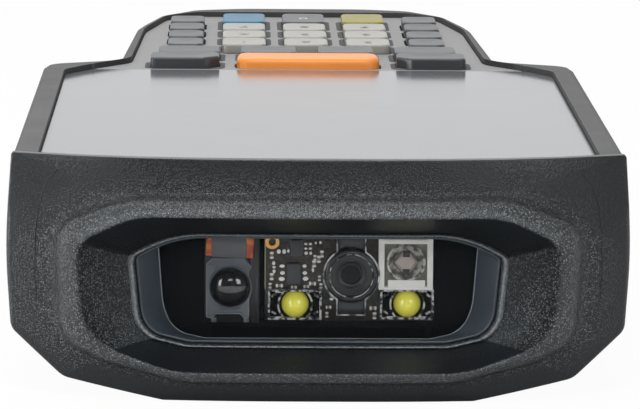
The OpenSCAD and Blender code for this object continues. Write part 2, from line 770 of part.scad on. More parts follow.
// A lens of diameter d whose front bulges by sag, with its front at the origin and depth t
module lens(d, sag, t) {
    r = (d * d / 4 + sag * sag) / (2 * sag);
    edge = asin(d / 2 / r);
    steps = 6;
    rotate_extrude() polygon(concat(
        [for (i = [0:steps]) [r * sin(edge * i / steps), r - r * cos(edge * i / steps)]],
        [[d / 2, t], [0, t]]));
}
module center_lens() {
    color("#202327") along_y(barrel_x, barrel_front + 1, barrel_z) lens(lens_d, 0.6, 2);
}

aimer_w = 6.9;
aimer_h = 6.8;
optic_front = board_y - 1.8;
module aimer_lens() {
    x1 = engine_right - 0.1;
    color("#c4c4be") difference() {
        box([x1 - aimer_w, optic_front, engine_top - aimer_h - 0.1], [x1, board_y, engine_top - 0.1]);
        box([x1 - aimer_w + 0.7, optic_front - past, engine_top - aimer_h + 1],
            [x1 - 0.7, optic_front + 0.6, engine_top - 0.9]);
    }
}

lamp_w = 6.9;
lamp_h = 4;
lamp_z = engine_z + 2.4;
LAMPS = [engine_x + lamp_w / 2 + 0.3, engine_right - lamp_w / 2 - 0.1];
module lamp_reflectors() {
    color("#a9aca8") for (x = LAMPS) difference() {
        box([x - lamp_w / 2, optic_front, lamp_z - lamp_h / 2 + 0.05],
            [x + lamp_w / 2, board_y, lamp_z + lamp_h / 2]);
        along_y(x, optic_front - past, lamp_z) cylinder(d = dome_d + 0.1, h = 3);
        box([x - lamp_w / 2 + 0.6, optic_front - past, lamp_z - lamp_h / 2 + 0.6],
            [x + lamp_w / 2 - 0.6, optic_front + 0.7, lamp_z + lamp_h / 2 - 0.55]);
    }
}
module lamp_domes() {
    color("#d7d77a") for (x = LAMPS) along_y(x, board_y, lamp_z) rotate([180, 0, 0]) union() {
        cylinder(d = dome_d, h = 0.4);
        translate([0, 0, 0.4]) intersection() {
            sphere(d = dome_d);
            cylinder(d = dome_d + 1, h = dome_d);
        }
    }
}

far_cx = far_x0 + 3.4;
far_cz = engine_z + 4.8;
far_front = board_y - 1.4;
far_face_w = 6.2;
far_face_h = 8.4;
module far_camera_housing() {
    color("#2a2d30") difference() {
        union() {
            box([far_x0, board_y - 0.6, engine_z], [far_x1, chassis_back, engine_top]);
            prism_y(rounded(rectangle(far_x0 + 0.05, far_x0 + far_face_w,
                engine_z + 0.5, engine_z + far_face_h, 0.4)), far_front, board_y);
        }
        along_y(far_cx, far_front - past, far_cz) cylinder(d = far_lens_d + 0.2, h = 3 + past);
    }
}
far_sag = 1.1;
module far_lens() {
    color("#17191b") along_y(far_cx, far_front - 0.3, far_cz) lens(far_lens_d, far_sag, 3.3);
}

flex_t = 0.3;
module flex_cable() {
    top = engine_top + flex_t;
    front = board_y - 0.6 - flex_t;
    color("#8a5a34") prism_x([
        [front, engine_z + far_face_h + 0.2], [front, top], [shield_back - shield_t, top],
        [shield_back - shield_t, engine_top], [front + flex_t, engine_top],
        [front + flex_t, engine_z + far_face_h + 0.2]], far_x0 + 0.2, far_x1 - 0.2);
}

module cover_glass() {
    color("#c8c9ca") intersection() {
        prism(rounded(glass), glass_bottom, glass_top);
        behind_lip(glass_gap, glass_bottom - past, body_h);
    }
}

module glass_gasket() {
    color("#101112") difference() {
        intersection() {
            prism(rounded(inset(glass, gasket_in)), shelf_z, glass_bottom);
            behind_lip(glass_gap + gasket_in, shelf_z - past, body_h);
        }
        prism(rounded(panel_opening),
            shelf_z - past, glass_bottom + past);
    }
}

module display_panel() {
    color("#26282a") prism(rounded(rectangle(-panel_w / 2, panel_w / 2,
        display_y0 + panel_gap, display_y1 - panel_gap, 1)), glass_bottom - panel_t, glass_bottom);
}

// Keys: [name, x, row, width, colour], in rows from the scan key to the tail
DARK = "#4a4d50";
LIGHT = "#bdbcb7";
soft_x = [5.8, 17.8];
soft_w = [8.4, 9.2];
side_x = 18.5;
function grid_row(row, names) = [
    [names[0], -side_x, row, side_key_w, DARK],
    [names[1], -column_pitch, row, number_key_w, LIGHT],
    [names[2], 0, row, number_key_w, LIGHT],
    [names[3], column_pitch, row, number_key_w, LIGHT],
    [names[4], side_x, row, side_key_w, DARK]];
KEYS = concat(
    [["soft_key_1", -soft_x[1], 0, soft_w[1], DARK], ["soft_key_2", -soft_x[0], 0, soft_w[0], DARK],
     ["soft_key_3", soft_x[0], 0, soft_w[0], DARK], ["soft_key_4", soft_x[1], 0, soft_w[1], DARK]],
    grid_row(1, ["side_key_l1", "key_1", "key_2", "key_3", "side_key_r1"]),
    grid_row(2, ["side_key_l2", "key_4", "key_5", "key_6", "side_key_r2"]),
    grid_row(3, ["side_key_l3", "key_7", "key_8", "key_9", "side_key_r3"]),
    [["side_key_l4", -side_x, 4, side_key_w, DARK], ["blue_key", -column_pitch, 4, number_key_w, "#5e94aa"],
     ["key_0", 0, 4, number_key_w, DARK], ["yellow_key", column_pitch, 4, number_key_w, "#c8c35a"],
     ["side_key_r4", side_x, 4, side_key_w, DARK]]);
first_row_y = plate_y + shelf_in + flange_w + 0.15;
rows_y = first_row_y + scan_key_l + 2.3;
last_row = 4;
row_pitch = (body_l - keypad_margin - rows_y + row_gap) / (last_row + 1);
key_l = row_pitch - row_gap;
last_key_more = 4;
function key_length(key) = key[2] == last_row && abs(key[1]) < side_x ? key_l + last_key_more : key_l;
function key_outline(key) = rectangle(key[1] - key[3] / 2, key[1] + key[3] / 2,
    rows_y + key[2] * row_pitch, rows_y + key[2] * row_pitch + key_length(key), key_r);
scan_outline = rectangle(-scan_key_w / 2, scan_key_w / 2, first_row_y, first_row_y + scan_key_l, 1.8);
action_x = 18.3;
action_w = 10.2;
action_chamfer = 2.2;
function action_outline(side) = let (
    inner = action_x - action_w / 2, outer = action_x + action_w / 2,
    corners = [[inner + action_chamfer, first_row_y, 0.5], [outer, first_row_y, 0.8],
        [outer, first_row_y + scan_key_l, key_r], [inner, first_row_y + scan_key_l, key_r],
        [inner, first_row_y + action_chamfer, 0.5]])
    side > 0 ? corners : [for (i = [len(corners) - 1:-1:0]) [-corners[i][0], corners[i][1], corners[i][2]]];

// A key's cap through the plate, with the flange that holds it under the plate
key_n = 4;
module key_cap(outline, h, bevel) {
    crowned(outline, [[plate_bottom - past, 0], [glass_top + h - bevel, 0],
        [glass_top + h - bevel * 0.3, bevel * 0.3], [glass_top + h, bevel]], key_n);
    prism(rounded(inset(outline, -flange_w), key_n), plate_bottom - flange_t, plate_bottom);
}
key_bevel = 0.5;
module pad_key(key) {
    color(key[4]) key_cap(key_outline(key), key_h, key_bevel);
}
module scan_key() {
    color("#e4944f") key_cap(scan_outline, scan_key_h, 1.1);
}
module left_action_key() {
    color(DARK) key_cap(action_outline(-1), scan_key_h, key_bevel);
}
module right_action_key() {
    color(DARK) key_cap(action_outline(1), scan_key_h, key_bevel);
}

module keypad_plate() {
    color("#9b9a98") difference() {
        prism(rounded(plate), plate_bottom, glass_top);
        for (key = KEYS) prism(rounded(inset(key_outline(key), -fit), key_n),
            plate_bottom - past, glass_top + past);
        prism(rounded(inset(scan_outline, -fit), key_n), plate_bottom - past, glass_top + past);
        for (side = [-1, 1]) prism(rounded(inset(action_outline(side), -fit), key_n),
            plate_bottom - past, glass_top + past);
    }
}

mat_z = board_z + main_board_t;
mat_t = plate_bottom - flange_t - key_travel - mat_play - mat_z;
mat_end_gap = 12.4;
module keypad_mat() {
    color("#2f3133") intersection() {
        prism(rounded(inset(plate, shelf_in + mat_gap)), mat_z, mat_z + mat_t);
        box([-big, plate_y + shelf_in, 0], [big, body_l - mat_end_gap, big]);
    }
}

module main_board() {
    color("#2c5a3c") prism(rounded(mirrored([
        [head_board, board_start, 2], [head_board, board_shoulder - 2, 2],
        [neck_board, board_shoulder, 2], [neck_board, board_end, 2]])), board_z, board_z + main_board_t);
}
head_board = panel_w / 2 - 0.2;
neck_board = neck_half - 8;
board_start = cap_l + 12;
board_shoulder = head_l - 1;
board_end = body_l - 14;

module speaker() {
    color("#3a3b3c") box([-speaker_w / 2, speaker_y - speaker_l / 2, wall],
        [speaker_w / 2, speaker_y + speaker_l / 2, wall + speaker_h]);
}

module battery_pack() {
    color("#3b3d3f") difference() {
        crowned(battery, [[0, 2.2], [1.7, 0.4], [2.6, 0], [battery_h, 0]]);
        box([-tongue_w / 2 - fit, battery_end - tongue_in - fit, tongue_z - fit],
            [tongue_w / 2 + fit, battery_end + past, tongue_z + tongue_t + fit]);
    }
}

module battery_latch() {
    color("#2c2e30") union() {
        difference() {
            box([-latch_w / 2, latch_y, latch_z], [latch_w / 2, latch_y + latch_l, latch_z + latch_h]);
            for (i = [-2:2]) box([i * 2.4 - 0.5, latch_y + 0.8, latch_z - past],
                [i * 2.4 + 0.5, latch_y + latch_l - 0.8, latch_z + 0.5]);
        }
        box([-tongue_w / 2, battery_end - tongue_in, tongue_z],
            [tongue_w / 2, latch_y + past, tongue_z + tongue_t]);
    }
}

trigger_out = trigger_travel + 0.1;
trigger_z = 23.1;
trigger_lip = 0.7;
module trigger() {
    inner = head_half - side_inset(ceiling_z) - wall - 0.1;
    color("#55585a") union() {
        crowned_x(rectangle(trigger_y - trigger_l / 2, trigger_y + trigger_l / 2,
            trigger_z - trigger_h / 2, trigger_z + trigger_h / 2, 1.6),
            [[inner - 0.4, 0], [head_half + trigger_out - 0.5, 0], [head_half + trigger_out, 0.6]]);
        box([inner - 0.8, trigger_y - trigger_l / 2 - trigger_lip, trigger_z - trigger_h / 2 - trigger_lip],
            [inner, trigger_y + trigger_l / 2 + trigger_lip, trigger_z + trigger_h / 2 + trigger_lip]);
    }
}
// A crowned solid whose outline is in y and z, stacked along x
module crowned_x(corners, levels) {
    loft([for (level = levels) [for (p = rounded(inset(corners, level[1]), key_n)) [level[0], p[0], p[1]]]]);
}
module right_trigger() {
    trigger();
}
module left_trigger() {
    mirror([1, 0, 0]) trigger();
}

module housing_screws() {
    color("#8d9092") at_screws() {
        difference() {
            translate([0, 0, screw_seat_z - 1.7]) cylinder(d = screw_head_d, h = 1.7);
            translate([0, 0, screw_seat_z - 1.7 - past]) cylinder(d = 2, h = 1 + past, $fn = 6);
        }
        translate([0, 0, screw_seat_z]) cylinder(d = screw_d, h = screw_top - screw_seat_z);
    }
}

module dock_connector() {
    color("#1d1e1f") box([-dock_w / 2, dock_y0, dock_z], [dock_w / 2, dock_y1, dock_z + dock_h]);
}
dock_pins_n = 6;
dock_pitch = 2.6;
module dock_pins() {
    color("#c8a450") for (i = [0:dock_pins_n - 1]) {
        x = (i - (dock_pins_n - 1) / 2) * dock_pitch;
        box([x - 0.7, dock_y1, dock_z + 0.9], [x + 0.7, dock_y1 + 0.3, dock_z + dock_h - 0.9]);
    }
}

placed() nose_cap();
placed() front_housing();
placed() rear_housing();
placed() window_frame();
placed() scan_window();
placed() window_seal();
placed() engine_shield();
placed() engine_bracket();
placed() engine_chassis();
placed() engine_board();
placed() engine_chips();
placed() lens_barrel();
placed() center_lens();
placed() aimer_lens();
placed() lamp_reflectors();
placed() lamp_domes();
placed() far_camera_housing();
placed() far_lens();
placed() flex_cable();
placed() cover_glass();
placed() glass_gasket();
placed() display_panel();
placed() keypad_plate();
placed() keypad_mat();
placed() main_board();
placed() speaker();
placed() battery_pack();
placed() battery_latch();
placed() left_trigger();
placed() right_trigger();
placed() housing_screws();
placed() dock_connector();
placed() dock_pins();
placed() scan_key();
placed() left_action_key();
placed() right_action_key();
for (key = KEYS) placed() pad_key(key);
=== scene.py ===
"""Handheld terminal on its back, seen from the scan window in its nose.

Sizes are in millimetres, with y = 0 at the nose crest and z = 0 on the table, as in the part's source.
`metres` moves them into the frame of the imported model.
"""
import json
import logging
import math
import random
from dataclasses import dataclass, field, replace
from enum import Enum
from functools import cache

import bmesh
import bpy
from bpy.types import Material, Mesh, Node, NodeSocket, NodeTree, Object
from mathutils import Matrix, Vector
from mathutils.bvhtree import BVHTree

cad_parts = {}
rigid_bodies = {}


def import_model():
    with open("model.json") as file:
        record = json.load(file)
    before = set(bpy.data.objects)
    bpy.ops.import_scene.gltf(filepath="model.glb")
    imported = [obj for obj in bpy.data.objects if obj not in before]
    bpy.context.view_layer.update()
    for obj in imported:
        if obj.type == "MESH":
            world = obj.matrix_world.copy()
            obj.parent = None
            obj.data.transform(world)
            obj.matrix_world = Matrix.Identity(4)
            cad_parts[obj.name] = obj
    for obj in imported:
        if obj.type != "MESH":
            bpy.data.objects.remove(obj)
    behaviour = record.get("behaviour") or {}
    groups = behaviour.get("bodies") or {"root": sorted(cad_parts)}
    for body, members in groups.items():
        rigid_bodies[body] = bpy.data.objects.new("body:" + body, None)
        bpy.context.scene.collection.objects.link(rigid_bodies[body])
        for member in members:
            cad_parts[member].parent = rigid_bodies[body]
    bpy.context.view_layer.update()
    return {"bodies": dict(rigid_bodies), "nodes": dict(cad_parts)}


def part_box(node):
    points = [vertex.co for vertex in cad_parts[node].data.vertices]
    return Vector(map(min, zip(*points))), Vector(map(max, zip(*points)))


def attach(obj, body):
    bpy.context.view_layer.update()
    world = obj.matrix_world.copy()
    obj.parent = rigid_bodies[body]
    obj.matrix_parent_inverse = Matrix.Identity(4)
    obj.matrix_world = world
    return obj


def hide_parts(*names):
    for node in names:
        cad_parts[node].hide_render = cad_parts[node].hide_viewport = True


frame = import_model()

log = logging.getLogger("terminal")

MM = 0.001
NOSE_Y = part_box("nose_cap")[0].y / MM
ROOT = "terminal"
LEAST_R = 0.15  # smallest corner radius that an inset outline keeps
LEG_SHARE = 0.48  # most of a leg that one rounded corner of a path may use
NOISE = (0.3, 0.7)  # between these lie most values of a noise

Flat = tuple[float, float]
Corner = tuple[float, float, float]
Box = tuple[float, float, float, float]
Numbers = tuple[float, ...]
Flats = tuple[Flat, ...]
Corners = tuple[Corner, ...]
Ring = list[Vector]


# Shapes

def metres(point: Vector) -> Vector:
    """Moves a point from millimetres behind the nose crest into the model's frame."""
    return Vector((point[0], point[1] + NOSE_Y, point[2])) * MM


def fillet(a: Corner, b: Corner, c: Corner, radius: float, count: int) -> list[Flat]:
    """Rounds corner b between a and c.

    Args:
        a: Corner before, of which only the place counts.
        b: Corner that is rounded.
        c: Corner after.
        radius: Radius of the arc.
        count: Number of points on the arc.

    Returns:
        The arc's points, from the side of a to the side of c.
    """
    corner = Vector(b[:2])
    u = (Vector(a[:2]) - corner).normalized()
    v = (Vector(c[:2]) - corner).normalized()
    half = math.acos(max(-1.0, min(1.0, u.dot(v)))) / 2
    centre = corner + (u + v).normalized() * radius / math.sin(half)
    start = corner + u * radius / math.tan(half) - centre
    side = 1 if u.x * v.y - u.y * v.x < 0 else -1
    first, sweep = math.atan2(start.y, start.x), side * (math.pi - 2 * half)
    angles = [first + sweep * i / (count - 1) for i in range(count)]
    return [(centre.x + radius * math.cos(t), centre.y + radius * math.sin(t)) for t in angles]


def outline(corners: list[Corner], arc: int, span: int = 0) -> list[Flat]:
    """Rounds a closed outline and adds points along its straight stretches.

    Args:
        corners: Corners as (x, y, radius).
        arc: Points per rounded corner.
        span: Points added between two corners.

    Returns:
        The points, the same number for any outline with as many corners.
    """
    after = corners[1:] + corners[:1]
    arcs = [fillet(corners[i - 1], corner, after[i], corner[2], arc) for i, corner in enumerate(corners)]
    points: list[Flat] = []
    for bend, following in zip(arcs, arcs[1:] + arcs[:1]):
        start, end = Vector(bend[-1]), Vector(following[0])
        points += bend
        points += [tuple(start.lerp(end, (k + 1) / (span + 1))) for k in range(span)]
    return points


def mirrored(half: list[Corner]) -> list[Corner]:
    """Completes a symmetric outline from the corners of its right half."""
    return half + [(-x, y, r) for x, y, r in reversed(half)]


def inset(corners: list[Corner], d: float) -> list[Corner]:
    """Moves every side of an outline in and keeps its arcs concentric.

    Args:
        corners: Corners as (x, y, radius).
        d: Distance, outwards if negative.

    Returns:
        The moved corners, with their new radii.
    """
    m = len(corners)
    area = sum(corners[i - 1][0] * corners[i][1] - corners[i - 1][1] * corners[i][0] for i in range(m))
    s = 1 if area > 0 else -1
    moved: list[Corner] = []
    for i, corner in enumerate(corners):
        a, b, c = (Vector(corners[j][:2]) for j in (i - 1, i, (i + 1) % m))
        e, f = (b - a).normalized(), (c - b).normalized()
        p, q = Vector((-e.y, e.x)) * s, Vector((-f.y, f.x)) * s
        shift = (p + q) / (1 + p.dot(q)) * d
        convex = s * (e.x * f.y - e.y * f.x) > 0
        moved.append((b.x + shift.x, b.y + shift.y, max(LEAST_R, corner[2] + (-d if convex else d))))
    return moved


def rectangle(x0: float, x1: float, y0: float, y1: float, r: float) -> list[Corner]:
    """The four corners of a rectangle with corner radius r."""
    return [(x0, y0, r), (x1, y0, r), (x1, y1, r), (x0, y1, r)]


def bent(path: Ring, reaches: Numbers, arc: int, span: int) -> tuple[Ring, list[float]]:
    """Rounds the inner corners of an open path in space.

    Args:
        path: Corners of the path.
        reaches: How far each inner corner's rounding runs along its two legs, or 0 for none.
        arc: Points per rounded corner.
        span: Points added on each stretch between two corners.

    Returns:
        The points of the rounded path, and the place of each, counted in corners.
    """
    pieces: list[Ring] = [[path[0]]]
    for i, reach in enumerate(reaches, 1):
        a, b, c = path[i - 1:i + 2]
        room = min(reach, LEG_SHARE * (a - b).length, LEG_SHARE * (c - b).length)
        p, q = b + (a - b).normalized() * room, b + (c - b).normalized() * room
        shares = [k / (arc - 1) for k in range(arc)] if reach else [0.5]
        pieces.append([p.lerp(b, t).lerp(b.lerp(q, t), t) for t in shares])
    pieces.append([path[-1]])
    points: Ring = []
    places: list[float] = []
    for i, (piece, after) in enumerate(zip(pieces, pieces[1:])):
        points += piece
        places += [float(i)] * len(piece)
        for share in ((k + 1) / (span + 1) for k in range(span)):
            points.append(piece[-1].lerp(after[0], share))
            places.append(i + share)
    return points + pieces[-1], places + [len(path) - 1.0]


def arc_at(middle: Vector, radius: float, first: float, last: float, count: int) -> Ring:
    """Points on an arc that lies across the terminal.

    Args:
        middle: Middle of the arc.
        radius: Its radius.
        first: Angle of the first point, from the right side and up.
        last: Angle of the last point.
        count: Number of points.

    Returns:
        The points.
    """
    turns = [first + (last - first) * k / (count - 1) for k in range(count)]
    return [middle + Vector((math.cos(t), 0, math.sin(t))) * radius for t in turns]


# Meshes

class Build:
    """Collects the faces of one piece, in millimetres, and makes its object."""

    def __init__(self) -> None:
        """Starts an empty piece."""
        self.bm = bmesh.new()
        self.grain = self.bm.verts.layers.float.new("grain")

    def rings(self, rings: list[Ring], caps: bool = False, grain: list[list[float]] | None = None) -> None:
        """Joins a stack of closed rings.

        Args:
            rings: Rings of as many points each.
            caps: Whether the first and the last ring are filled.
            grain: Value of the grain attribute at every point, ring by ring.
        """
        rows = [[self.bm.verts.new(metres(p)) for p in ring] for ring in rings]
        for row, weights in zip(rows, grain or []):
            for vert, weight in zip(row, weights):
                vert[self.grain] = weight
        n = len(rows[0])
        for low, high in zip(rows, rows[1:]):
            for j in range(n):
                k = (j + 1) % n
                self.bm.faces.new((low[j], low[k], high[k], high[j]))
        if caps:
            self.bm.faces.new(rows[0][::-1])
            self.bm.faces.new(rows[-1])

    def block(self, low: Corner, high: Corner, bevel: float = 0.0, turn: Matrix | None = None) -> None:
        """Adds a box between two corners, with rounded edges.

        Args:
            low: Lowest corner.
            high: Highest corner.
            bevel: Width of the rounded edges.
            turn: Rotation about the box's middle.
        """
        middle = (Vector(low) + Vector(high)) / 2
        size = Vector(high) - Vector(low)
        made = bmesh.ops.create_cube(self.bm, size=1.0)["verts"]
        for vert in made:
            spot = Vector([vert.co[i] * size[i] for i in range(3)])
            vert.co = metres((turn @ spot if turn else spot) + middle)
        if bevel:
            edges = list({e for v in made for e in v.link_edges})
            bmesh.ops.bevel(self.bm, geom=edges, offset=bevel * MM, segments=2, profile=0.6, affect="EDGES")

    def bars(self, box: Box, y: Flat, side: float, bottom: float, top: float, bevel: float) -> None:
        """Adds a frame of four bars that lies across the terminal.

        Args:
            box: Left, right, lower and upper side of the frame.
            y: Its front and its back.
            side: Width of the bars at both sides.
            bottom: Height of the lower bar.
            top: Height of the upper bar.
            bevel: Width of the rounded edges.
        """
        x0, x1, z0, z1 = box
        for left, right, low, high in ((x0, x0 + side, z0, z1), (x1 - side, x1, z0, z1),
                                       (x0, x1, z0, z0 + bottom), (x0, x1, z1 - top, z1)):
            self.block((left, y[0], low), (right, y[1], high), bevel)

    def slab(self, points: list[Flat], y0: float, y1: float, bevel: float) -> None:
        """Adds a plate that lies across the terminal, with a bevelled front.

        Args:
            points: Its outline in x and z.
            y0: Place of its front.
            y1: Place of its back.
            bevel: Width of the bevel.
        """
        flat = [Vector(p) for p in points]
        centre = sum(flat, Vector((0, 0))) / len(flat)
        levels = ((bevel, y0), (bevel * 0.3, y0 + bevel * 0.3), (0, y0 + bevel), (0, y1))
        moved = [([p + (centre - p).normalized() * inner for p in flat], y) for inner, y in levels]
        self.rings([[Vector((p.x, y, p.y)) for p in row] for row, y in moved], caps=True)

    def turned(self, profile: Flats, middle: Vector, steps: int = 48,
               deep: Numbers = ()) -> None:
        """Adds a closed body of revolution about an axis along the terminal.

        Args:
            profile: Points as (radius, distance behind the middle). One that starts on the axis gets a flat
                back, and any other is joined to its start.
            middle: Place of the front on the axis.
            steps: Points around.
            deep: Value of the grain attribute at every point of the profile.
        """
        last = profile[0] if profile[0][0] else (0.0, profile[-1][1])
        grain = [[value] * steps for value in (*deep, *deep[-1:])]
        self.rings([arc_at(middle + Vector((0, d, 0)), r, 0.0, math.tau, steps + 1)[:-1]
                    for r, d in (*profile, last)], grain=grain)

    def make(self, name: str, finish: Material, body: str = ROOT, slot: str = "",
             replaces: tuple[str, ...] = (), sharp: float = 38.0) -> Object:
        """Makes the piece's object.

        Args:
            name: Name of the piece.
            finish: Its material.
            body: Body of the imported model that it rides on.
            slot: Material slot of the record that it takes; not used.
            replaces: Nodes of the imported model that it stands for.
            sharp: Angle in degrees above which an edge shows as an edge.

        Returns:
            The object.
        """
        bmesh.ops.remove_doubles(self.bm, verts=self.bm.verts, dist=1e-7)
        bmesh.ops.recalc_face_normals(self.bm, faces=self.bm.faces)
        for edge in self.bm.edges:
            if len(edge.link_faces) == 2 and edge.calc_face_angle(0.0) > math.radians(sharp):
                edge.smooth = False
        for face in self.bm.faces:
            face.smooth = True
        mesh = bpy.data.meshes.new(name)
        self.bm.to_mesh(mesh)
        self.bm.free()
        return settle(bpy.data.objects.new(name, mesh), finish, body, replaces)


def settle(piece: Object, finish: Material, body: str = ROOT,
           replaces: tuple[str, ...] = ()) -> Object:
    """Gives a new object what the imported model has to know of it.

    Args:
        piece: The object.
        finish: Its material.
        body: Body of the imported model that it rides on.
        replaces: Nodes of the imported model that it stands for.

    Returns:
        The same object.
    """
    bpy.context.scene.collection.objects.link(piece)
    piece.data.materials.clear()
    piece.data.materials.append(finish)
    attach(piece, body)
    if replaces:
        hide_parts(*replaces)
    return piece


# Node trees

Value = Node | NodeSocket | float | str | tuple | Object | Material | bool
Inputs = dict[int | str, Value] | tuple[Value, ...]


def feed(node: Node, inputs: Inputs) -> None:
    """Sets or links inputs of a node.

    Args:
        node: The node.
        inputs: Values by the name or number of their inputs, or in the order of the inputs. A node or an
            output is linked, a node by its first output.
    """
    for key, value in inputs.items() if isinstance(inputs, dict) else enumerate(inputs):
        if isinstance(value, Node):
            value = value.outputs[0]
        if isinstance(value, NodeSocket):
            node.id_data.links.new(value, node.inputs[key])
        else:
            node.inputs[key].default_value = value


def add(tree: NodeTree, kind: str, inputs: Inputs = (), **settings: object) -> Node:
    """Adds a node.

    Args:
        tree: Tree that takes the node.
        kind: Type of the node.
        inputs: Its inputs, as `feed` takes them.
        **settings: Attributes of the node.

    Returns:
        The node.
    """
    node = tree.nodes.new(kind)
    for key, value in settings.items():
        setattr(node, key, value)
    feed(node, inputs)
    return node


def linear(hex_colour: str) -> tuple[float, float, float, float]:
    """Turns an sRGB hex colour into linear light."""
    channels = [int(hex_colour[i:i + 2], 16) / 255 for i in (1, 3, 5)]
    return (*[c / 12.92 if c <= 0.04045 else ((c + 0.055) / 1.055) ** 2.4 for c in channels], 1.0)


def sized(tree: NodeTree) -> NodeSocket:
    """Object coordinates in millimetres."""
    place = add(tree, "ShaderNodeTexCoord")
    return add(tree, "ShaderNodeVectorMath", {0: place.outputs["Object"], "Scale": 1 / MM},
               operation="SCALE").outputs[0]


@dataclass(frozen=True)
class Finish:
    """A real material: its colour, its gloss and how its surface was made.

    The grain is its size in millimetres, and the height how far it stands out, also in millimetres.
    """

    name: str
    colour: str
    roughness: float = 0.5
    ior: float = 1.5
    grain: float = 0.25
    height: float = 0.006
    cloud: float = 0.06
    gloss_cloud: float = 0.07
    clouds_per_mm: float = 0.11
    metallic: float = 0.0
    coat: float = 0.0
    specular: float = 0.5

    def shader(self) -> tuple[Material, NodeTree, Node]:
        """Makes the material, with its even values on the main shader's own sockets.

        Returns:
            The material, its tree and the main shader.
        """
        material = bpy.data.materials.new(self.name)
        material.use_nodes = True
        tree = material.node_tree
        tree.nodes.clear()
        main = add(tree, "ShaderNodeBsdfPrincipled", {
            "Base Color": linear(self.colour), "Roughness": self.roughness, "Metallic": self.metallic,
            "Coat Weight": self.coat, "Coat Roughness": 0.06, "Specular IOR Level": self.specular})
        if not self.metallic:
            main.inputs["IOR"].default_value = self.ior
        add(tree, "ShaderNodeOutputMaterial", {"Surface": main})
        return material, tree, main

    def clouded(self, tree: NodeTree, main: Node, place: NodeSocket) -> NodeSocket:
        """Lets colour and roughness drift a little over the surface, as handling and moulding do.

        Args:
            tree: Tree of the material.
            main: Its main shader.
            place: Coordinates in millimetres.

        Returns:
            The drifting colour.
        """
        drift = add(tree, "ShaderNodeTexNoise", {"Vector": place, "Scale": self.clouds_per_mm, "Detail": 3.0})
        drifts = (drift.outputs["Fac"], *NOISE)
        shade = add(tree, "ShaderNodeMapRange", (*drifts, 1 - self.cloud, 1 + self.cloud))
        base = add(tree, "ShaderNodeVectorMath", {0: linear(self.colour)[:3], "Scale": shade},
                   operation="SCALE")
        feed(main, {"Base Color": base})
        low, high = self.roughness * (1 - self.gloss_cloud), self.roughness * (1 + self.gloss_cloud)
        gloss = add(tree, "ShaderNodeMapRange", (*drifts, low, min(1.0, high)))
        feed(main, {"Roughness": gloss})
        return base.outputs[0]

    def build(self) -> Material:
        """Makes a moulding with fine spark-eroded grain: an even scatter of tiny dimples.

        Returns:
            The material.
        """
        material, tree, main = self.shader()
        place = sized(tree)
        self.clouded(tree, main, place)
        if self.height:
            dots = add(tree, "ShaderNodeTexNoise", {"Vector": place, "Scale": 1 / self.grain, "Detail": 2.0})
            bump = add(tree, "ShaderNodeBump", {
                "Height": dots.outputs["Fac"], "Strength": 1.0, "Distance": self.height * MM})
            feed(main, {"Normal": bump})
        return material


@dataclass(frozen=True)
class Pebbled(Finish):
    """A moulding with leather-like pebbles, as coarse as each point's grain attribute says.

    A grain above 1, on the crest and the bead round the mouth, mixes in a lighter colour: a painted
    highlight. The pebble is its size in millimetres, and the share says how much of the pale colour the
    brightest pebbles show, which paints sparkle highlights on them.
    """

    pebble: float = 0.25
    pebble_height: float = 0.12
    # Pale colour of the brightest pebbles: painted sparkle highlights
    top: str = "#a3a9ad"
    sparkle_share: float = 0.62
    # Lighter colour of the crest and the bead round the mouth: a painted highlight
    bead_highlight: str = "#9aa1a6"

    def build(self) -> Material:
        """Mixes coarse pebbles over fine grain by the attribute painted on the mesh.

        Returns:
            The material.
        """
        material, tree, main = self.shader()
        place = sized(tree)
        base = self.clouded(tree, main, place)
        painted = add(tree, "ShaderNodeAttribute", attribute_name="grain").outputs["Fac"]
        weight = add(tree, "ShaderNodeClamp", (painted,))
        cells = add(tree, "ShaderNodeTexVoronoi", {"Vector": place, "Scale": 1 / self.pebble}, feature="F1")
        chance = add(tree, "ShaderNodeSeparateColor", (cells.outputs["Color"],))
        # A share of the pebbles gets the pale colour: painted sparkle highlights
        bright = add(tree, "ShaderNodeMapRange", (chance, 0.2, 1.0, 0.0, self.sparkle_share))
        near = add(tree, "ShaderNodeMapRange", (cells.outputs["Distance"], 0.2, 0.6, 1.0, 0.0))
        painted_sparkle = add(tree, "ShaderNodeMath", (bright, near), operation="MULTIPLY")
        dense = add(tree, "ShaderNodeMath", (weight, 3.0), operation="POWER")
        shown = add(tree, "ShaderNodeMath", (painted_sparkle, dense), operation="MULTIPLY")
        # A grain above 1 mixes in the painted highlight of the crest and the bead
        highlight_weight = add(tree, "ShaderNodeMath", (painted, 1.0), operation="SUBTRACT", use_clamp=True)
        highlighted = add(tree, "ShaderNodeMix", {0: highlight_weight, 6: base, 7: linear(self.bead_highlight)}, data_type="RGBA")
        lit = add(tree, "ShaderNodeMix", {
            0: shown, 6: highlighted.outputs[2], 7: linear(self.top)}, data_type="RGBA")
        feed(main, {"Base Color": lit.outputs[2]})
        dome = add(tree, "ShaderNodeMapRange", (cells.outputs["Distance"], 0.05, 0.7, 1.0, 0.0),
                   interpolation_type="SMOOTHSTEP")
        rough = add(tree, "ShaderNodeTexNoise", {"Vector": place, "Scale": 1 / self.grain, "Detail": 2.0})
        coarse = add(tree, "ShaderNodeMath", (dome, weight), operation="MULTIPLY")
        high = add(tree, "ShaderNodeMath", (coarse, self.pebble_height), operation="MULTIPLY")
        keep = add(tree, "ShaderNodeMath", (weight, 0.7, 0.3), operation="MULTIPLY_ADD")
        fine = add(tree, "ShaderNodeMath", (rough.outputs["Fac"], keep), operation="MULTIPLY")
        low = add(tree, "ShaderNodeMath", (fine, self.height, high), operation="MULTIPLY_ADD")
        bump = add(tree, "ShaderNodeBump", {"Height": low, "Strength": 1.0, "Distance": MM})
        feed(main, {"Normal": bump})
        return material


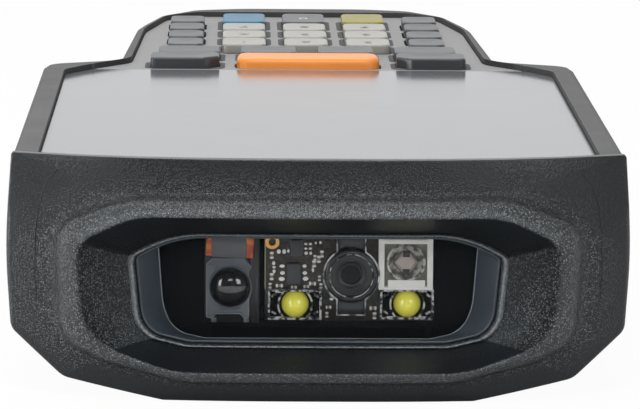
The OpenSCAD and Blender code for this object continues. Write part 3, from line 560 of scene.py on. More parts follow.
@dataclass(frozen=True)
class Clear(Finish):
    """A clear moulding or glass, of which part is see-through so that light reaches what lies behind.

    Random dark patches, of the given size in millimetres, paint the darkness that one sees through it.
    """

    alpha: float = 0.3
    passes: float = 0.6
    patch: float = 0.0
    # Colour of the painted dark patches
    dark: str = "#25282a"

    def build(self) -> Material:
        """Sets transmission and alpha on the main shader's own sockets, and adds the painted dark patches.

        Returns:
            The material.
        """
        material, tree, main = self.shader()
        main.inputs["Transmission Weight"].default_value = self.passes
        main.inputs["Alpha"].default_value = self.alpha
        if self.patch:
            patch_noise = add(tree, "ShaderNodeTexNoise", {
                "Vector": sized(tree), "Scale": 1 / self.patch, "Detail": 1.0})
            mark = add(tree, "ShaderNodeMapRange", (patch_noise.outputs["Fac"], 0.42, 0.6, 0.0, 1.0))
            mix = add(tree, "ShaderNodeMix", {
                0: mark, 6: linear(self.dark), 7: linear(self.colour)}, data_type="RGBA")
            feed(main, {"Base Color": mix.outputs[2]})
        return material


@dataclass(frozen=True)
class Laminate(Finish):
    """A printed board: solder mask with fine lines of copper under it, a pitch apart in millimetres."""

    line: str = "#3d342b"
    pitch: float = 0.5

    def build(self) -> Material:
        """Draws copper lines as the edges of blocky cells, seen through the mask.

        Returns:
            The material.
        """
        material, tree, main = self.shader()
        cells = add(tree, "ShaderNodeTexVoronoi", {"Vector": sized(tree), "Scale": 1 / self.pitch},
                    feature="F1", distance="CHEBYCHEV")
        mark = add(tree, "ShaderNodeMapRange", (cells.outputs["Distance"], 0.42, 0.46, 0.0, 1.0))
        mix = add(tree, "ShaderNodeMix", {
            0: mark, 6: linear(self.colour), 7: linear(self.line)}, data_type="RGBA")
        feed(main, {"Base Color": mix.outputs[2]})
        bump = add(tree, "ShaderNodeBump", {"Height": mark, "Strength": 1.0, "Distance": self.height * MM})
        feed(main, {"Normal": bump})
        return material


@dataclass(frozen=True)
class PaintedGlow(Finish):
    """A clear coloured moulding with a painted glow, though it is not lit, and a deeper colour, a painted
    shade, where its grain attribute is high.
    """

    glow: float = 0.12
    deep: str = ""

    def build(self) -> Material:
        """Sets the painted glow, and mixes in the deep colour, a painted shade, by the attribute painted on
        the mesh.

        Returns:
            The material.
        """
        material, tree, main = self.shader()
        main.inputs["Emission Color"].default_value = linear(self.colour)
        main.inputs["Emission Strength"].default_value = self.glow
        if self.deep:
            depth = add(tree, "ShaderNodeAttribute", attribute_name="grain").outputs["Fac"]
            mix = add(tree, "ShaderNodeMix", {
                0: depth, 6: linear(self.colour), 7: linear(self.deep)}, data_type="RGBA")
            feed(main, {"Base Color": mix.outputs[2], "Emission Color": mix.outputs[2]})
        return material


class Finishes:
    """Every finish of the terminal, made once."""

    def __init__(self) -> None:
        """Builds the materials."""
        # Glass-filled polycarbonate, moulded in a tool with etched pebbles: dull with tiny sparks, partly
        # painted as pale pebbles, and a painted highlight on the crest and the bead
        self.nose = Pebbled("pebbled_polycarbonate", "#181b1e", roughness=0.32, ior=1.58, grain=0.16,
                            height=0.02, cloud=0.05, specular=0.3).build()
        # Polycarbonate and ABS blend with fine spark-eroded grain: an even satin grey
        self.front = Finish("grained_shell_abs", "#343435", roughness=0.6, ior=1.54, height=0.008,
                            specular=0.35).build()
        # The same blend from a tool with deeper grain: a little lighter, its shine more broken
        self.rear = Finish("dark_shell_abs", "#3a3d3f", roughness=0.55, ior=1.54, grain=0.28,
                           height=0.012).build()
        # Smooth painted ABS: bluish and even, its mould was polished
        self.frame = Finish("smooth_frame_abs", "#434d56", roughness=0.38, ior=1.54, grain=0.4,
                            height=0.0015).build()
        # Pale grey beads on the edges of the window's opening and the second camera's plate: a painted
        # highlight
        self.edge = Finish("edge_highlight_abs", "#8a9298", roughness=0.25, ior=1.54, height=0.0).build()
        # Float glass with a coating against glare: almost no colour
        self.window = Clear("coated_float_glass", "#7d858e", roughness=0.03, alpha=0.03, passes=0.0).build()
        # Closed-cell foam rubber: matt black
        self.foam = Finish("foam_rubber", "#0e0f10", roughness=0.9, ior=1.45, grain=0.3, height=0.01).build()
        # Matt black polycarbonate of the dark room: it swallows the light around the engine
        self.room = Finish("matt_black_polycarbonate", "#060707", roughness=0.9, grain=0.3, height=0.004,
                           specular=0.1).build()
        # Black-coated die-cast zinc: dull and nearly black
        self.chassis = Finish("black_die_cast_zinc", "#1c1d1e", grain=0.3).build()
        # Glass fibre laminate under black solder mask: brownish, with fine lines that catch the light
        self.board = Laminate("solder_masked_laminate", "#2a221c", roughness=0.35, height=0.008).build()
        # Its cut edge: bare glass fibre, pale yellow-green
        self.cut_edge = Finish("bare_glass_fibre", "#b7b98a", grain=0.2, height=0.004).build()
        # Moulded epoxy of the chips: grey and slightly shiny
        self.chip = Finish("moulded_epoxy", "#3c3f44", roughness=0.4, ior=1.55, grain=0.12,
                           height=0.003).build()
        # Tinned solder and end caps: bright, a little uneven
        self.tin = Finish("tinned_solder", "#f6f6f2", roughness=0.22, grain=0.1, height=0.004,
                          metallic=0.3).build()
        # Fired ceramic of the small parts: dull brown
        self.ceramic = Finish("fired_ceramic", "#8b7a66", ior=1.6, grain=0.1, height=0.002).build()
        # Gold-plated copper: warm and bright
        self.gold = Finish("gold_plate", "#d9a860", roughness=0.3, grain=0.1, height=0.003,
                           metallic=0.9).build()
        # Black liquid-crystal polymer of the lens barrels: its steps show as thin bright rings
        self.barrel = Finish("black_lens_polymer", "#0b0c0d", roughness=0.35, ior=1.6, grain=0.3,
                             height=0.001).build()
        # Smoke-tinted acrylic of the lens holder: dark with bright edges
        self.smoke = Finish("smoked_acrylic", "#24272a", roughness=0.12, ior=1.49, height=0.0,
                            cloud=0.02).build()
        # Grey filled polymer of the second camera's front: satin
        self.camera_face = Finish("grey_lens_polymer", "#626971", roughness=0.3, ior=1.6, grain=0.3,
                                  height=0.002).build()
        # Coated glass lens: near black with a sharp reflection
        self.lens = Finish("coated_lens_glass", "#060708", roughness=0.04, ior=1.8, height=0.0,
                           cloud=0.0).build()
        # The same coated glass, almost flat: it shows only what stands before it
        self.flat_lens = Finish("coated_flat_glass", "#08090a", roughness=0.08, ior=1.45, height=0.0,
                                cloud=0.0, specular=0.15).build()
        # Clear acrylic: light passes; its white colour paints the shine of its edges, and random dark patches
        # the darkness seen through it
        self.acrylic = Clear("clear_acrylic", "#ffffff", roughness=0.12, ior=1.49, alpha=0.75, passes=0.1,
                             patch=0.7).build()
        # A pale line round the lens holder: a painted highlight on its acrylic edge, with random painted dark
        # patches
        self.pale_acrylic = Clear("acrylic_edge_highlight", "#f4f4f0", roughness=0.2, ior=1.49, alpha=0.95,
                                  passes=0.0, patch=1.3, dark="#55595b").build()
        # The aimer's bowl: pale acrylic with random grey patches, painted shade where its ribs turn away
        self.bowl = Clear("ribbed_acrylic", "#e6e6e1", roughness=0.2, ior=1.49, alpha=0.92, passes=0.0,
                          patch=1.0, dark="#77766f").build()
        # Its diamond: frosted acrylic over a warm lamp chip
        self.gem = Finish("warm_frosted_acrylic", "#cdbfb9", roughness=0.3, ior=1.49, height=0.0).build()
        # Acrylic that guides the aimer's light, brightened by a painted glow
        self.guide = PaintedGlow("light_guide_acrylic_painted_glow", "#f4f4f0", roughness=0.2, ior=1.49, glow=0.1).build()
        # Grey diffuser film behind the aimer's diamond: an even pale ground
        self.diffuser = Finish("grey_diffuser_film", "#8d8b82", roughness=0.35, grain=0.2,
                               height=0.002).build()
        # Phosphor under clear silicone: lemon yellow, brightened by a painted glow, with a deeper colour
        # towards the dome's foot as painted shade
        self.lamp = PaintedGlow("phosphor_silicone_painted_glow", "#ece75a", roughness=0.1, ior=1.41, coat=1.0, glow=0.3,
                         deep="#8f8c08").build()
        # Polyimide film: amber and shiny, with random darker patches as painted shade
        self.film = Clear("polyimide_film", "#ff8a28", roughness=0.25, ior=1.6, specular=0.3, alpha=1.0,
                          passes=0.0, patch=1.1, dark="#c94a0c").build()
        # Polyester stiffener on the film: plain satin grey
        self.stiffener = Finish("grey_stiffener_film", "#5c5f64", roughness=0.3, ior=1.6, grain=0.2,
                                height=0.002).build()
        # Chemically strengthened glass over a dark display: a mirror at a flat angle, with a grey base colour
        # as a painted sheen
        self.display = Finish("strengthened_glass_painted_sheen", "#5c5e62", roughness=0.13, ior=1.6, height=0.0,
                              cloud=0.02).build()
        # Black frame of the display panel: satin, hidden under the glass
        self.panel = Finish("black_panel_frame", "#26282a").build()
        # Satin-painted ABS of the keypad plate: mid grey
        self.plate = Finish("satin_painted_abs", "#7c7b7b", grain=0.2, height=0.003, specular=0.4).build()
        # Silicone of the keys under a hard coat: satin, in five colours
        key = Finish("coated_silicone_dark", "#383b3e", roughness=0.35, grain=0.2, height=0.002,
                     specular=0.35)
        self.dark_key = key.build()
        self.light_key = replace(key, name="coated_silicone_light", colour="#94938d").build()
        self.orange_key = replace(key, name="coated_silicone_orange", colour="#e68c3c").build()
        self.blue_key = replace(key, name="coated_silicone_blue", colour="#0c5f7d", specular=0.3).build()
        self.yellow_key = replace(key, name="coated_silicone_yellow", colour="#7f7714", specular=0.3).build()
        # Printing ink: flat, pale on dark keys and grey on pale ones
        self.pale_ink = Finish("printed_pale_ink", "#c9cbcd", roughness=0.6, height=0.0).build()
        self.ink = Finish("printed_ink", "#6c6c69", roughness=0.35, height=0.0, specular=0.6).build()
        # Bare silicone of the key mat: dull and dark in the gaps
        self.mat = Finish("silicone_mat", "#2f3133", roughness=0.7, ior=1.43).build()
        # Moulded rubber of the triggers and the latch: dull, with a soft grain
        self.rubber = Finish("moulded_rubber", "#3b3e41", roughness=0.6, grain=0.3, height=0.012).build()
        # Main board's laminate under green solder mask, with paler lines
        self.green_board = Laminate("green_laminate", "#234a32", roughness=0.4, height=0.008,
                                    line="#3f7a55").build()
        # Zinc-plated steel of the screws: bright and satin
        self.steel = Finish("zinc_plated_steel", "#b9bbbc", roughness=0.35, grain=0.2, height=0.002,
                            metallic=1.0).build()


# Geometry nodes

def open_tree(name: str, sockets: tuple[tuple[str, str], ...] = ()) -> tuple[NodeTree, Node, Node]:
    """Starts a geometry tree with named inputs.

    Args:
        name: Name of the tree.
        sockets: Name and type of every input after the geometry.

    Returns:
        The tree, its input node and its output node.
    """
    tree = bpy.data.node_groups.new(name, "GeometryNodeTree")
    tree.interface.new_socket("Geometry", in_out="INPUT", socket_type="NodeSocketGeometry")
    for label, kind in sockets:
        tree.interface.new_socket(label, in_out="INPUT", socket_type=kind)
    tree.interface.new_socket("Geometry", in_out="OUTPUT", socket_type="NodeSocketGeometry")
    return tree, tree.nodes.new("NodeGroupInput"), tree.nodes.new("NodeGroupOutput")


@cache
def copies_tree() -> NodeTree:
    """Makes the tree that puts a copy of one shape on every point.

    Returns:
        The tree, which turns and sizes the copies by the points' attributes.
    """
    tree, given, made = open_tree("copies_on_points", (
        ("Shape", "NodeSocketObject"), ("Finish", "NodeSocketMaterial")))
    shape = add(tree, "GeometryNodeObjectInfo", (given.outputs["Shape"],), transform_space="ORIGINAL")
    turn = add(tree, "GeometryNodeInputNamedAttribute", {"Name": "turn"}, data_type="FLOAT_VECTOR")
    size = add(tree, "GeometryNodeInputNamedAttribute", {"Name": "size"}, data_type="FLOAT_VECTOR")
    placed = add(tree, "GeometryNodeInstanceOnPoints", {
        "Points": given.outputs["Geometry"], "Instance": shape.outputs["Geometry"],
        "Rotation": turn, "Scale": size})
    real = add(tree, "GeometryNodeRealizeInstances", {"Geometry": placed})
    dressed = add(tree, "GeometryNodeSetMaterial", {"Geometry": real, "Material": given.outputs["Finish"]})
    feed(made, (dressed,))
    return tree


@cache
def bead_tree() -> NodeTree:
    """Makes the tree that runs a bead of eight sides along an edge path.

    Returns:
        The tree.
    """
    tree, given, made = open_tree("bead_along_path", (
        ("Radius", "NodeSocketFloat"), ("Finish", "NodeSocketMaterial")))
    path = add(tree, "GeometryNodeMeshToCurve", {"Mesh": given.outputs["Geometry"]})
    circle = add(tree, "GeometryNodeCurvePrimitiveCircle", {
        "Resolution": 8, "Radius": given.outputs["Radius"]}, mode="RADIUS")
    tube = add(tree, "GeometryNodeCurveToMesh", {"Curve": path, "Profile Curve": circle, "Fill Caps": True})
    smooth = add(tree, "GeometryNodeSetShadeSmooth", (tube,))
    real = add(tree, "GeometryNodeRealizeInstances", {"Geometry": smooth})
    dressed = add(tree, "GeometryNodeSetMaterial", {"Geometry": real, "Material": given.outputs["Finish"]})
    feed(made, (dressed,))
    return tree


@cache
def shading_tree() -> NodeTree:
    """Makes the tree that shades a solid smoothly and keeps its real edges sharp.

    Returns:
        The tree.
    """
    tree, given, made = open_tree("smooth_by_angle")
    angle = add(tree, "GeometryNodeInputMeshEdgeAngle")
    wide = add(tree, "FunctionNodeCompare", (angle, math.radians(32)), operation="GREATER_THAN")
    faces = add(tree, "GeometryNodeSetShadeSmooth", (given,), domain="FACE")
    edges = add(tree, "GeometryNodeSetShadeSmooth", {
        0: faces, "Selection": wide, "Shade Smooth": False}, domain="EDGE")
    feed(made, (edges,))
    return tree


def grow(name: str, start: Mesh, tree: NodeTree, values: dict[str, object]) -> Object:
    """Runs a geometry tree on a mesh and keeps the result as a plain mesh.

    Args:
        name: Name of the piece.
        start: Mesh that the tree works on.
        tree: The tree.
        values: Value of each named input.

    Returns:
        The new object, with no modifier left on it.
    """
    seed = bpy.data.objects.new(name + "_seed", start)
    bpy.context.scene.collection.objects.link(seed)
    modifier = seed.modifiers.new("grow", "NODES")
    modifier.node_group = tree
    for item in tree.interface.items_tree:
        if item.in_out == "INPUT" and item.name in values:
            modifier[item.identifier] = values[item.name]
    graph = bpy.context.evaluated_depsgraph_get()
    mesh = bpy.data.meshes.new_from_object(seed.evaluated_get(graph))
    bpy.data.objects.remove(seed)
    mesh.name = name
    return bpy.data.objects.new(name, mesh)


def bead(name: str, points: Ring, radius: float, finish: Material, closed: bool = False) -> None:
    """Makes a thin bead along a path.

    Args:
        name: Name of the piece.
        points: Points of the path.
        radius: Radius of the bead.
        finish: Its material.
        closed: Whether the path closes on itself.
    """
    n = len(points)
    path = bpy.data.meshes.new("path")
    edges = [(i, (i + 1) % n) for i in range(n if closed else n - 1)]
    path.from_pydata([metres(p) for p in points], edges, [])
    settle(grow(name, path, bead_tree(), {"Radius": radius * MM, "Finish": finish}), finish)


def copies(name: str, spots: list[tuple[Vector, Vector, Vector]], shape: Object, finish: Material) -> None:
    """Makes a piece of many copies of one shape.

    Args:
        name: Name of the piece.
        spots: Place, turn and size of every copy.
        shape: The shape, of unit size.
        finish: Material of the piece.
    """
    points = bpy.data.meshes.new("spots")
    points.from_pydata([metres(place) for place, _, _ in spots], [], [])
    turns = points.attributes.new("turn", "FLOAT_VECTOR", "POINT").data
    for datum, (_, turn, _) in zip(turns, spots):
        datum.vector = turn
    sizes = points.attributes.new("size", "FLOAT_VECTOR", "POINT").data
    for datum, (_, _, size) in zip(sizes, spots):
        datum.vector = size * MM
    settle(grow(name, points, copies_tree(), {"Shape": shape, "Finish": finish}), finish)


def stamp(name: str) -> Object:
    """Makes a unit block with rounded edges, outside the scene, to be copied.

    Args:
        name: Name of the block and its mesh.

    Returns:
        The block.
    """
    bm = bmesh.new()
    bmesh.ops.create_cube(bm, size=1.0)
    bmesh.ops.bevel(bm, geom=bm.edges[:], offset=0.22, segments=2, affect="EDGES")
    mesh = bpy.data.meshes.new(name)
    bm.to_mesh(mesh)
    bm.free()
    return bpy.data.objects.new(name, mesh)


def soften(node: str, finish: Material, bevel: float = 0.0, merge_flat: bool = False) -> None:
    """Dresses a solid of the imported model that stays: its material and smooth, softly edged faces.

    Args:
        node: Name of the solid.
        finish: Its material.
        bevel: Width of its softened edges, in millimetres.
        merge_flat: Whether triangles in one plane become one face, so that large flat faces shade evenly.
    """
    piece = frame["nodes"][node]
    piece.data.materials.clear()
    piece.data.materials.append(finish)
    weld = piece.modifiers.new("weld", "WELD")
    weld.merge_threshold = 1e-6
    if merge_flat:
        flat = piece.modifiers.new("flat", "DECIMATE")
        flat.decimate_type, flat.angle_limit = "DISSOLVE", math.radians(0.5)
    if bevel:
        edge = piece.modifiers.new("edge", "BEVEL")
        edge.width, edge.segments, edge.limit_method = bevel * MM, 2, "ANGLE"
        edge.angle_limit = math.radians(40)
        edge.use_clamp_overlap = True
    shade = piece.modifiers.new("shade", "NODES")
    shade.node_group = shading_tree()
    if bevel:
        even = piece.modifiers.new("even", "WEIGHTED_NORMAL")
        even.keep_sharp = True


# The terminal

@dataclass
class Assembly:
    """A part of the terminal that builds its own pieces and dresses them."""

    look: Finishes

    def build(self) -> None:
        """Makes the pieces."""
        raise NotImplementedError


@dataclass
class Body:
    """Sizes of the body at the head."""

    head_w: float = 80.2
    height: float = 31.0
    bulge_z: float = 18.8
    bulge_r: float = 70.0
    draft: float = 0.07
    chin_z: float = 8.3
    chin_in: float = 7.5
    chin_r: float = 2.0
    sole_z: float = 2.5
    sole_w: float = 39.4
    sole_r: float = 3.0
    edge_r: float = 0.5
    cap_l: float = 26.0

    def side(self, z: float) -> float:
        """Inset at height z of the straight sides that the bulge rounds."""
        return self.draft * abs(self.bulge_z - z)

    def section(self) -> list[Corner]:
        """Draws the section of the head, from the top down the right side.

        Returns:
            Its corners with their radii.
        """
        half = self.head_w / 2
        return mirrored([
            (half - self.side(self.height), self.height, self.edge_r), (half, self.bulge_z, self.bulge_r),
            (half - self.side(self.chin_z), self.chin_z, self.chin_r),
            (half - self.chin_in, self.sole_z, self.sole_r), (self.sole_w / 2, 0.0, self.sole_r)])


@dataclass
class Nose(Assembly):
    """The moulded nose: a bowed face with a raised rim and a funnel down to the window.

    The corners of its four outlines are given as shares of half their width and of their height. The grain
    is given for every station of the moulding, from its joint with the shells down to the window.
    """

    body: Body = field(default_factory=Body)
    bow_depth: float = 6.4
    bow_x: float = 39.0
    edge_y: float = 4.1
    edge_reaches: Flat = (0.25, 2.6)
    edge_fade: float = 4.0
    rim_y: float = 3.4
    rim_w: float = 67.8
    rim_z: Flat = (2.5, 26.4)
    rim_bow: float = 0.97
    face_shares: Numbers = (0.15, 0.32, 0.5, 0.68)
    crest_w: float = 62.0
    crest_z: Flat = (4.2, 24.1)
    crest_flat: float = 0.08
    shoulder_at: float = 0.72
    shoulder_y: float = 0.3
    lip_w: float = 49.2
    lip_z: Flat = (6.0, 20.9)
    lip_y: float = 9.0
    lip_t: float = 1.4
    bead_w: float = 1.05
    bead_t: float = 0.5
    bead_h: float = 0.45
    bead_shares: Numbers = (0.18, 0.5, 0.82)
    throat_in: float = 0.4
    seat_y: float = 14.0
    seat_z: float = 24.0
    seat_step: float = 0.5
    wall: float = 2.2
    opening_w: float = 41.2
    opening_z: Flat = (6.5, 20.0)
    frame_in: float = 1.0
    frame_w: float = 0.35
    frame_bow: float = 0.9
    frame_reaches: Numbers = (0.15, 0.2, 0.22, 0.05)
    window_y: float = 14.3
    window_t: float = 1.3
    window_lap: float = 1.0
    arc: int = 9
    span: int = 9
    rim: Corners = ((0.708, 1, 15), (1, 0.845, 4), (0.979, 0.209, 4.5), (0.826, 0.109, 6), (0.5, 0, 14))
    crest: Corners = ((0.758, 1, 12), (1, 0.818, 3.6), (0.974, 0.283, 5.5), (0.852, 0.136, 9), (0.597, 0, 16))
    mouth: Corners = ((0.77, 1, 16), (1, 0.79, 1.5), (0.962, 0.18, 4.5), (0.874, 0.067, 4), (0.691, 0, 6))
    opening: Corners = ((0.825, 1, 3), (1, 0.938, 1), (0.966, 0.277, 8), (0.888, 0.062, 4), (0.704, 0, 4))
    reaches: Numbers = (0, 0, 0, 0, 1.3, 0.9, 0.45, 0, 0.1, 0.12, 0.2, 0.12, 0.1)
    # Grain above 1, on the crest and the bead round the mouth, mixes in a lighter colour: a painted highlight
    side_grain: Numbers = (
        0.16, 0.16, 0.16, 0.2, 0.3, 0.45, 0.65, 0.85, 0.95, 1.06, 1.04, 1, 1.1, 1.6, 1.8, 1.3, 1, 0.8)
    plain_grain: Numbers = (
        0.16, 0.16, 0.16, 0.16, 0.2, 0.25, 0.3, 0.45, 0.8, 1.04, 1.12, 0.2, 0.5, 1.2, 1.6, 1.1, 0.6, 0.4)
    parting: Flats = ((33.2, 29.2), (34.8, 27.2), (35.7, 24.6), (36.1, 21.0), (36.2, 16.0), (35.9, 11.5))
    parting_steps: int = 6

    def scaled(self, shares: Corners, width: float, z: Flat) -> list[Corner]:
        """Corners in millimetres from shares of half the width and of the height."""
        return mirrored([(x * width / 2, z[0] + share * (z[1] - z[0]), r) for x, share, r in shares])

    def lip(self, share: float) -> list[Corner]:
        """The funnel's mouth, moved in over a share of its bead, which is wider at both sides."""
        narrower = 1 - (self.bead_w - self.bead_t) * share / (self.lip_w / 2)
        moved = inset(self.scaled(self.mouth, self.lip_w, self.lip_z), self.bead_t * share)
        return [(x * narrower, z, r) for x, z, r in moved]

    def bow(self, x: float) -> float:
        """Setback of the face at x from the middle."""
        return self.bow_depth * (abs(x) / self.bow_x) ** 3

    def ring(self, corners: list[Corner], y: float, share: float = 1.0) -> Ring:
        """A rounded outline at setback y, bowed by a share of the face's bow."""
        return [Vector((x, y + share * self.bow(x), z)) for x, z in outline(corners, self.arc, self.span)]

    def build(self) -> None:
        """Makes the moulded nose with its grain, and the frame and the glass in it."""
        faces = self.build_moulding()
        self.build_frame()
        self.build_parting(faces)

    def build_moulding(self) -> BVHTree:
        """Makes the moulding from stations that run from its joint with the shells down to the window.

        Returns:
            Its faces, for what lies on them.
        """
        skin, throat = self.body.section(), self.lip(1)
        edge = self.ring(skin, self.edge_y)
        seat, face = self.seat(skin), self.face(edge)
        stations = [*seat, edge, *face, *self.funnel(face[-1], throat)]
        paths = [bent(list(path), (0, 0, self.edge_reach(corner.z), *self.reaches), arc=5, span=2)
                 for corner, path in zip(edge, zip(*stations))]
        grain = [[self.weight(side, place) for place in places]
                 for side, (_, places) in zip(self.sides(len(edge)), paths)]
        build = Build()
        build.rings(list(zip(*(points for points, _ in paths))), grain=list(zip(*grain)))
        hollow = [(x, min(z, self.seat_z - self.wall), r) for x, z, r in inset(skin, self.wall)]
        build.rings([seat[0], self.ring(hollow, self.body.cap_l, 0), self.ring(hollow, self.seat_y, 0),
                     self.ring(throat, self.seat_y, 0)])
        made = build.make("nose_moulding", self.look.nose, slot="nose_plastic", replaces=("nose_cap",),
                          sharp=50)
        return BVHTree.FromPolygons(
            [v.co for v in made.data.vertices], [tuple(p.vertices) for p in made.data.polygons])

    def edge_reach(self, z: float) -> float:
        """Reach of the rounded edge between the skin and the face, crisp at the top and soft below."""
        crisp, soft = self.edge_reaches
        return crisp + (soft - crisp) * max(0.0, min(1.0, (self.seat_z - z) / self.edge_fade))

    def seat(self, skin: list[Corner]) -> list[Ring]:
        """The skin behind the face, which leaves room for the front shell behind the lip.

        Args:
            skin: Section of the head.

        Returns:
            Three rings, from the joint with the shells forward.
        """
        lip, back = self.ring(skin, self.edge_y + self.lip_t), self.ring(skin, self.body.cap_l, 0)
        rings: list[Ring] = [[], [], []]
        for near, far in zip(lip, back):
            high = near.z > self.seat_z
            low = min(near.z, self.seat_z)
            step = far - Vector((0, self.seat_step, 0))
            rings[0].append(Vector((far.x, far.y, low)))
            rings[1].append(Vector((near.x, near.y, low)) if high else step)
            rings[2].append(near if high else step)
        return rings

    def face(self, edge: Ring) -> list[Ring]:
        """The bowed face and the raised rim on it.

        Args:
            edge: Front edge of the skin.

        Returns:
            Rings from behind the edge to the rim's crest.
        """
        foot = self.ring(self.scaled(self.rim, self.rim_w, self.rim_z), self.rim_y, self.rim_bow)
        ridge = self.ring(self.scaled(self.crest, self.crest_w, self.crest_z), 0)
        rings = []
        for share in self.face_shares:
            setback = self.edge_y + (self.rim_y - self.edge_y) * share
            bow = 1 - (1 - self.rim_bow) * share
            flat = [a.lerp(b, share) for a, b in zip(edge, foot)]
            rings.append([Vector((p.x, setback + bow * self.bow(p.x), p.z)) for p in flat])
        flat = [a.lerp(b, self.shoulder_at) for a, b in zip(ridge, foot)]
        shoulder = [Vector((p.x, self.rim_y * self.shoulder_y + self.bow(p.x), p.z)) for p in flat]
        return [*rings, foot, shoulder, ridge]

    def funnel(self, ridge: Ring, throat: list[Corner]) -> list[Ring]:
        """The funnel, the bead round its mouth and the throat that holds the window's frame.

        Args:
            ridge: Crest of the rim.
            throat: Outline of the throat.

        Returns:
            Rings from behind the crest to the window's seat.
        """
        mouth = self.ring(self.lip(0), self.lip_y)
        rings = [[a.lerp(b, self.crest_flat) for a, b in zip(ridge, mouth)], mouth]
        for share in self.bead_shares:
            rise = self.bead_h * math.sin(math.pi * share)
            rings.append(self.ring(self.lip(share), self.lip_y - rise))
        return [*rings, self.ring(throat, self.lip_y + self.throat_in), self.ring(throat, self.seat_y, 0)]

    def sides(self, n: int) -> list[bool]:
        """Whether each point of a ring lies on a side wall, from one end of its arcs to the other."""
        step, middle = self.arc + self.span, self.arc // 2
        spans = [range(a * step + middle, b * step + middle + 1) for a, b in ((1, 3), (6, 8))]
        return [any(j in span for span in spans) for j in range(n)]

    def weight(self, side: bool, place: float) -> float:
        """Weight of the coarse grain at a place on a path from the skin to the throat.

        Args:
            side: Whether the path lies on a side wall.
            place: The place, counted in stations.

        Returns:
            The weight.
        """
        weights = self.side_grain if side else self.plain_grain
        low = min(int(place), len(weights) - 2)
        return weights[low] + (place - low) * (weights[low + 1] - weights[low])

    def build_frame(self) -> None:
        """Makes the smooth bevelled frame, the glass and a thin pale bead round the opening, a painted
        highlight on its edge.
        """
        look, throat, bow = self.look, self.lip(1), self.frame_bow
        opening = self.scaled(self.opening, self.opening_w, self.opening_z)
        pane = inset(opening, -self.window_lap)
        front, back = self.lip_y + self.frame_in, self.window_y + 0.2
        stations = [self.ring(throat, self.seat_y - 0.05, 0), self.ring(inset(throat, 0.02), front, bow),
                    self.ring(inset(throat, self.frame_w), front, bow), self.ring(opening, self.seat_y, 0),
                    self.ring(opening, back, 0), self.ring(pane, back, 0)]
        paths = [bent(list(path), self.frame_reaches, arc=4, span=1)[0] for path in zip(*stations)]
        rings = list(zip(*paths))
        build = Build()
        build.rings([*rings, rings[0]])
        build.make("window_bezel", look.frame, slot="window_frame_plastic", replaces=("window_frame",),
                   sharp=60)
        glass = Build()
        glass.slab(outline(pane, 6), self.window_y, self.window_y + self.window_t, 0.15)
        glass.make("window_pane", look.window, slot="window_glass", replaces=("scan_window",))
        # A pale bead round the opening: a painted highlight on its edge
        edge = [Vector((x, self.seat_y + 0.02, z)) for x, z in outline(opening, self.arc, 4)]
        bead("window_edge", edge, 0.08, look.edge, True)

    def build_parting(self, faces: BVHTree) -> None:
        """Makes the fine parting lines down both sides of the face, where two parts of the mould met.

        Args:
            faces: The moulding's faces, on which the lines lie.
        """
        for side, name in ((1, "right"), (-1, "left")):
            line = []
            for start, end in zip(self.parting, self.parting[1:]):
                for k in range(self.parting_steps):
                    x, z = Vector(start).lerp(Vector(end), k / self.parting_steps)
                    hit = faces.ray_cast(metres(Vector((side * x, -30, z))), Vector((0, 1, 0)))[0]
                    line.append(Vector((side * x, hit.y / MM - NOSE_Y, z)))
            bead(f"parting_line_{name}", line, 0.06, self.look.nose)


@dataclass
class Module(Assembly):
    """A part of the scan engine, placed by the front of the engine's board."""

    y: float = 20.4


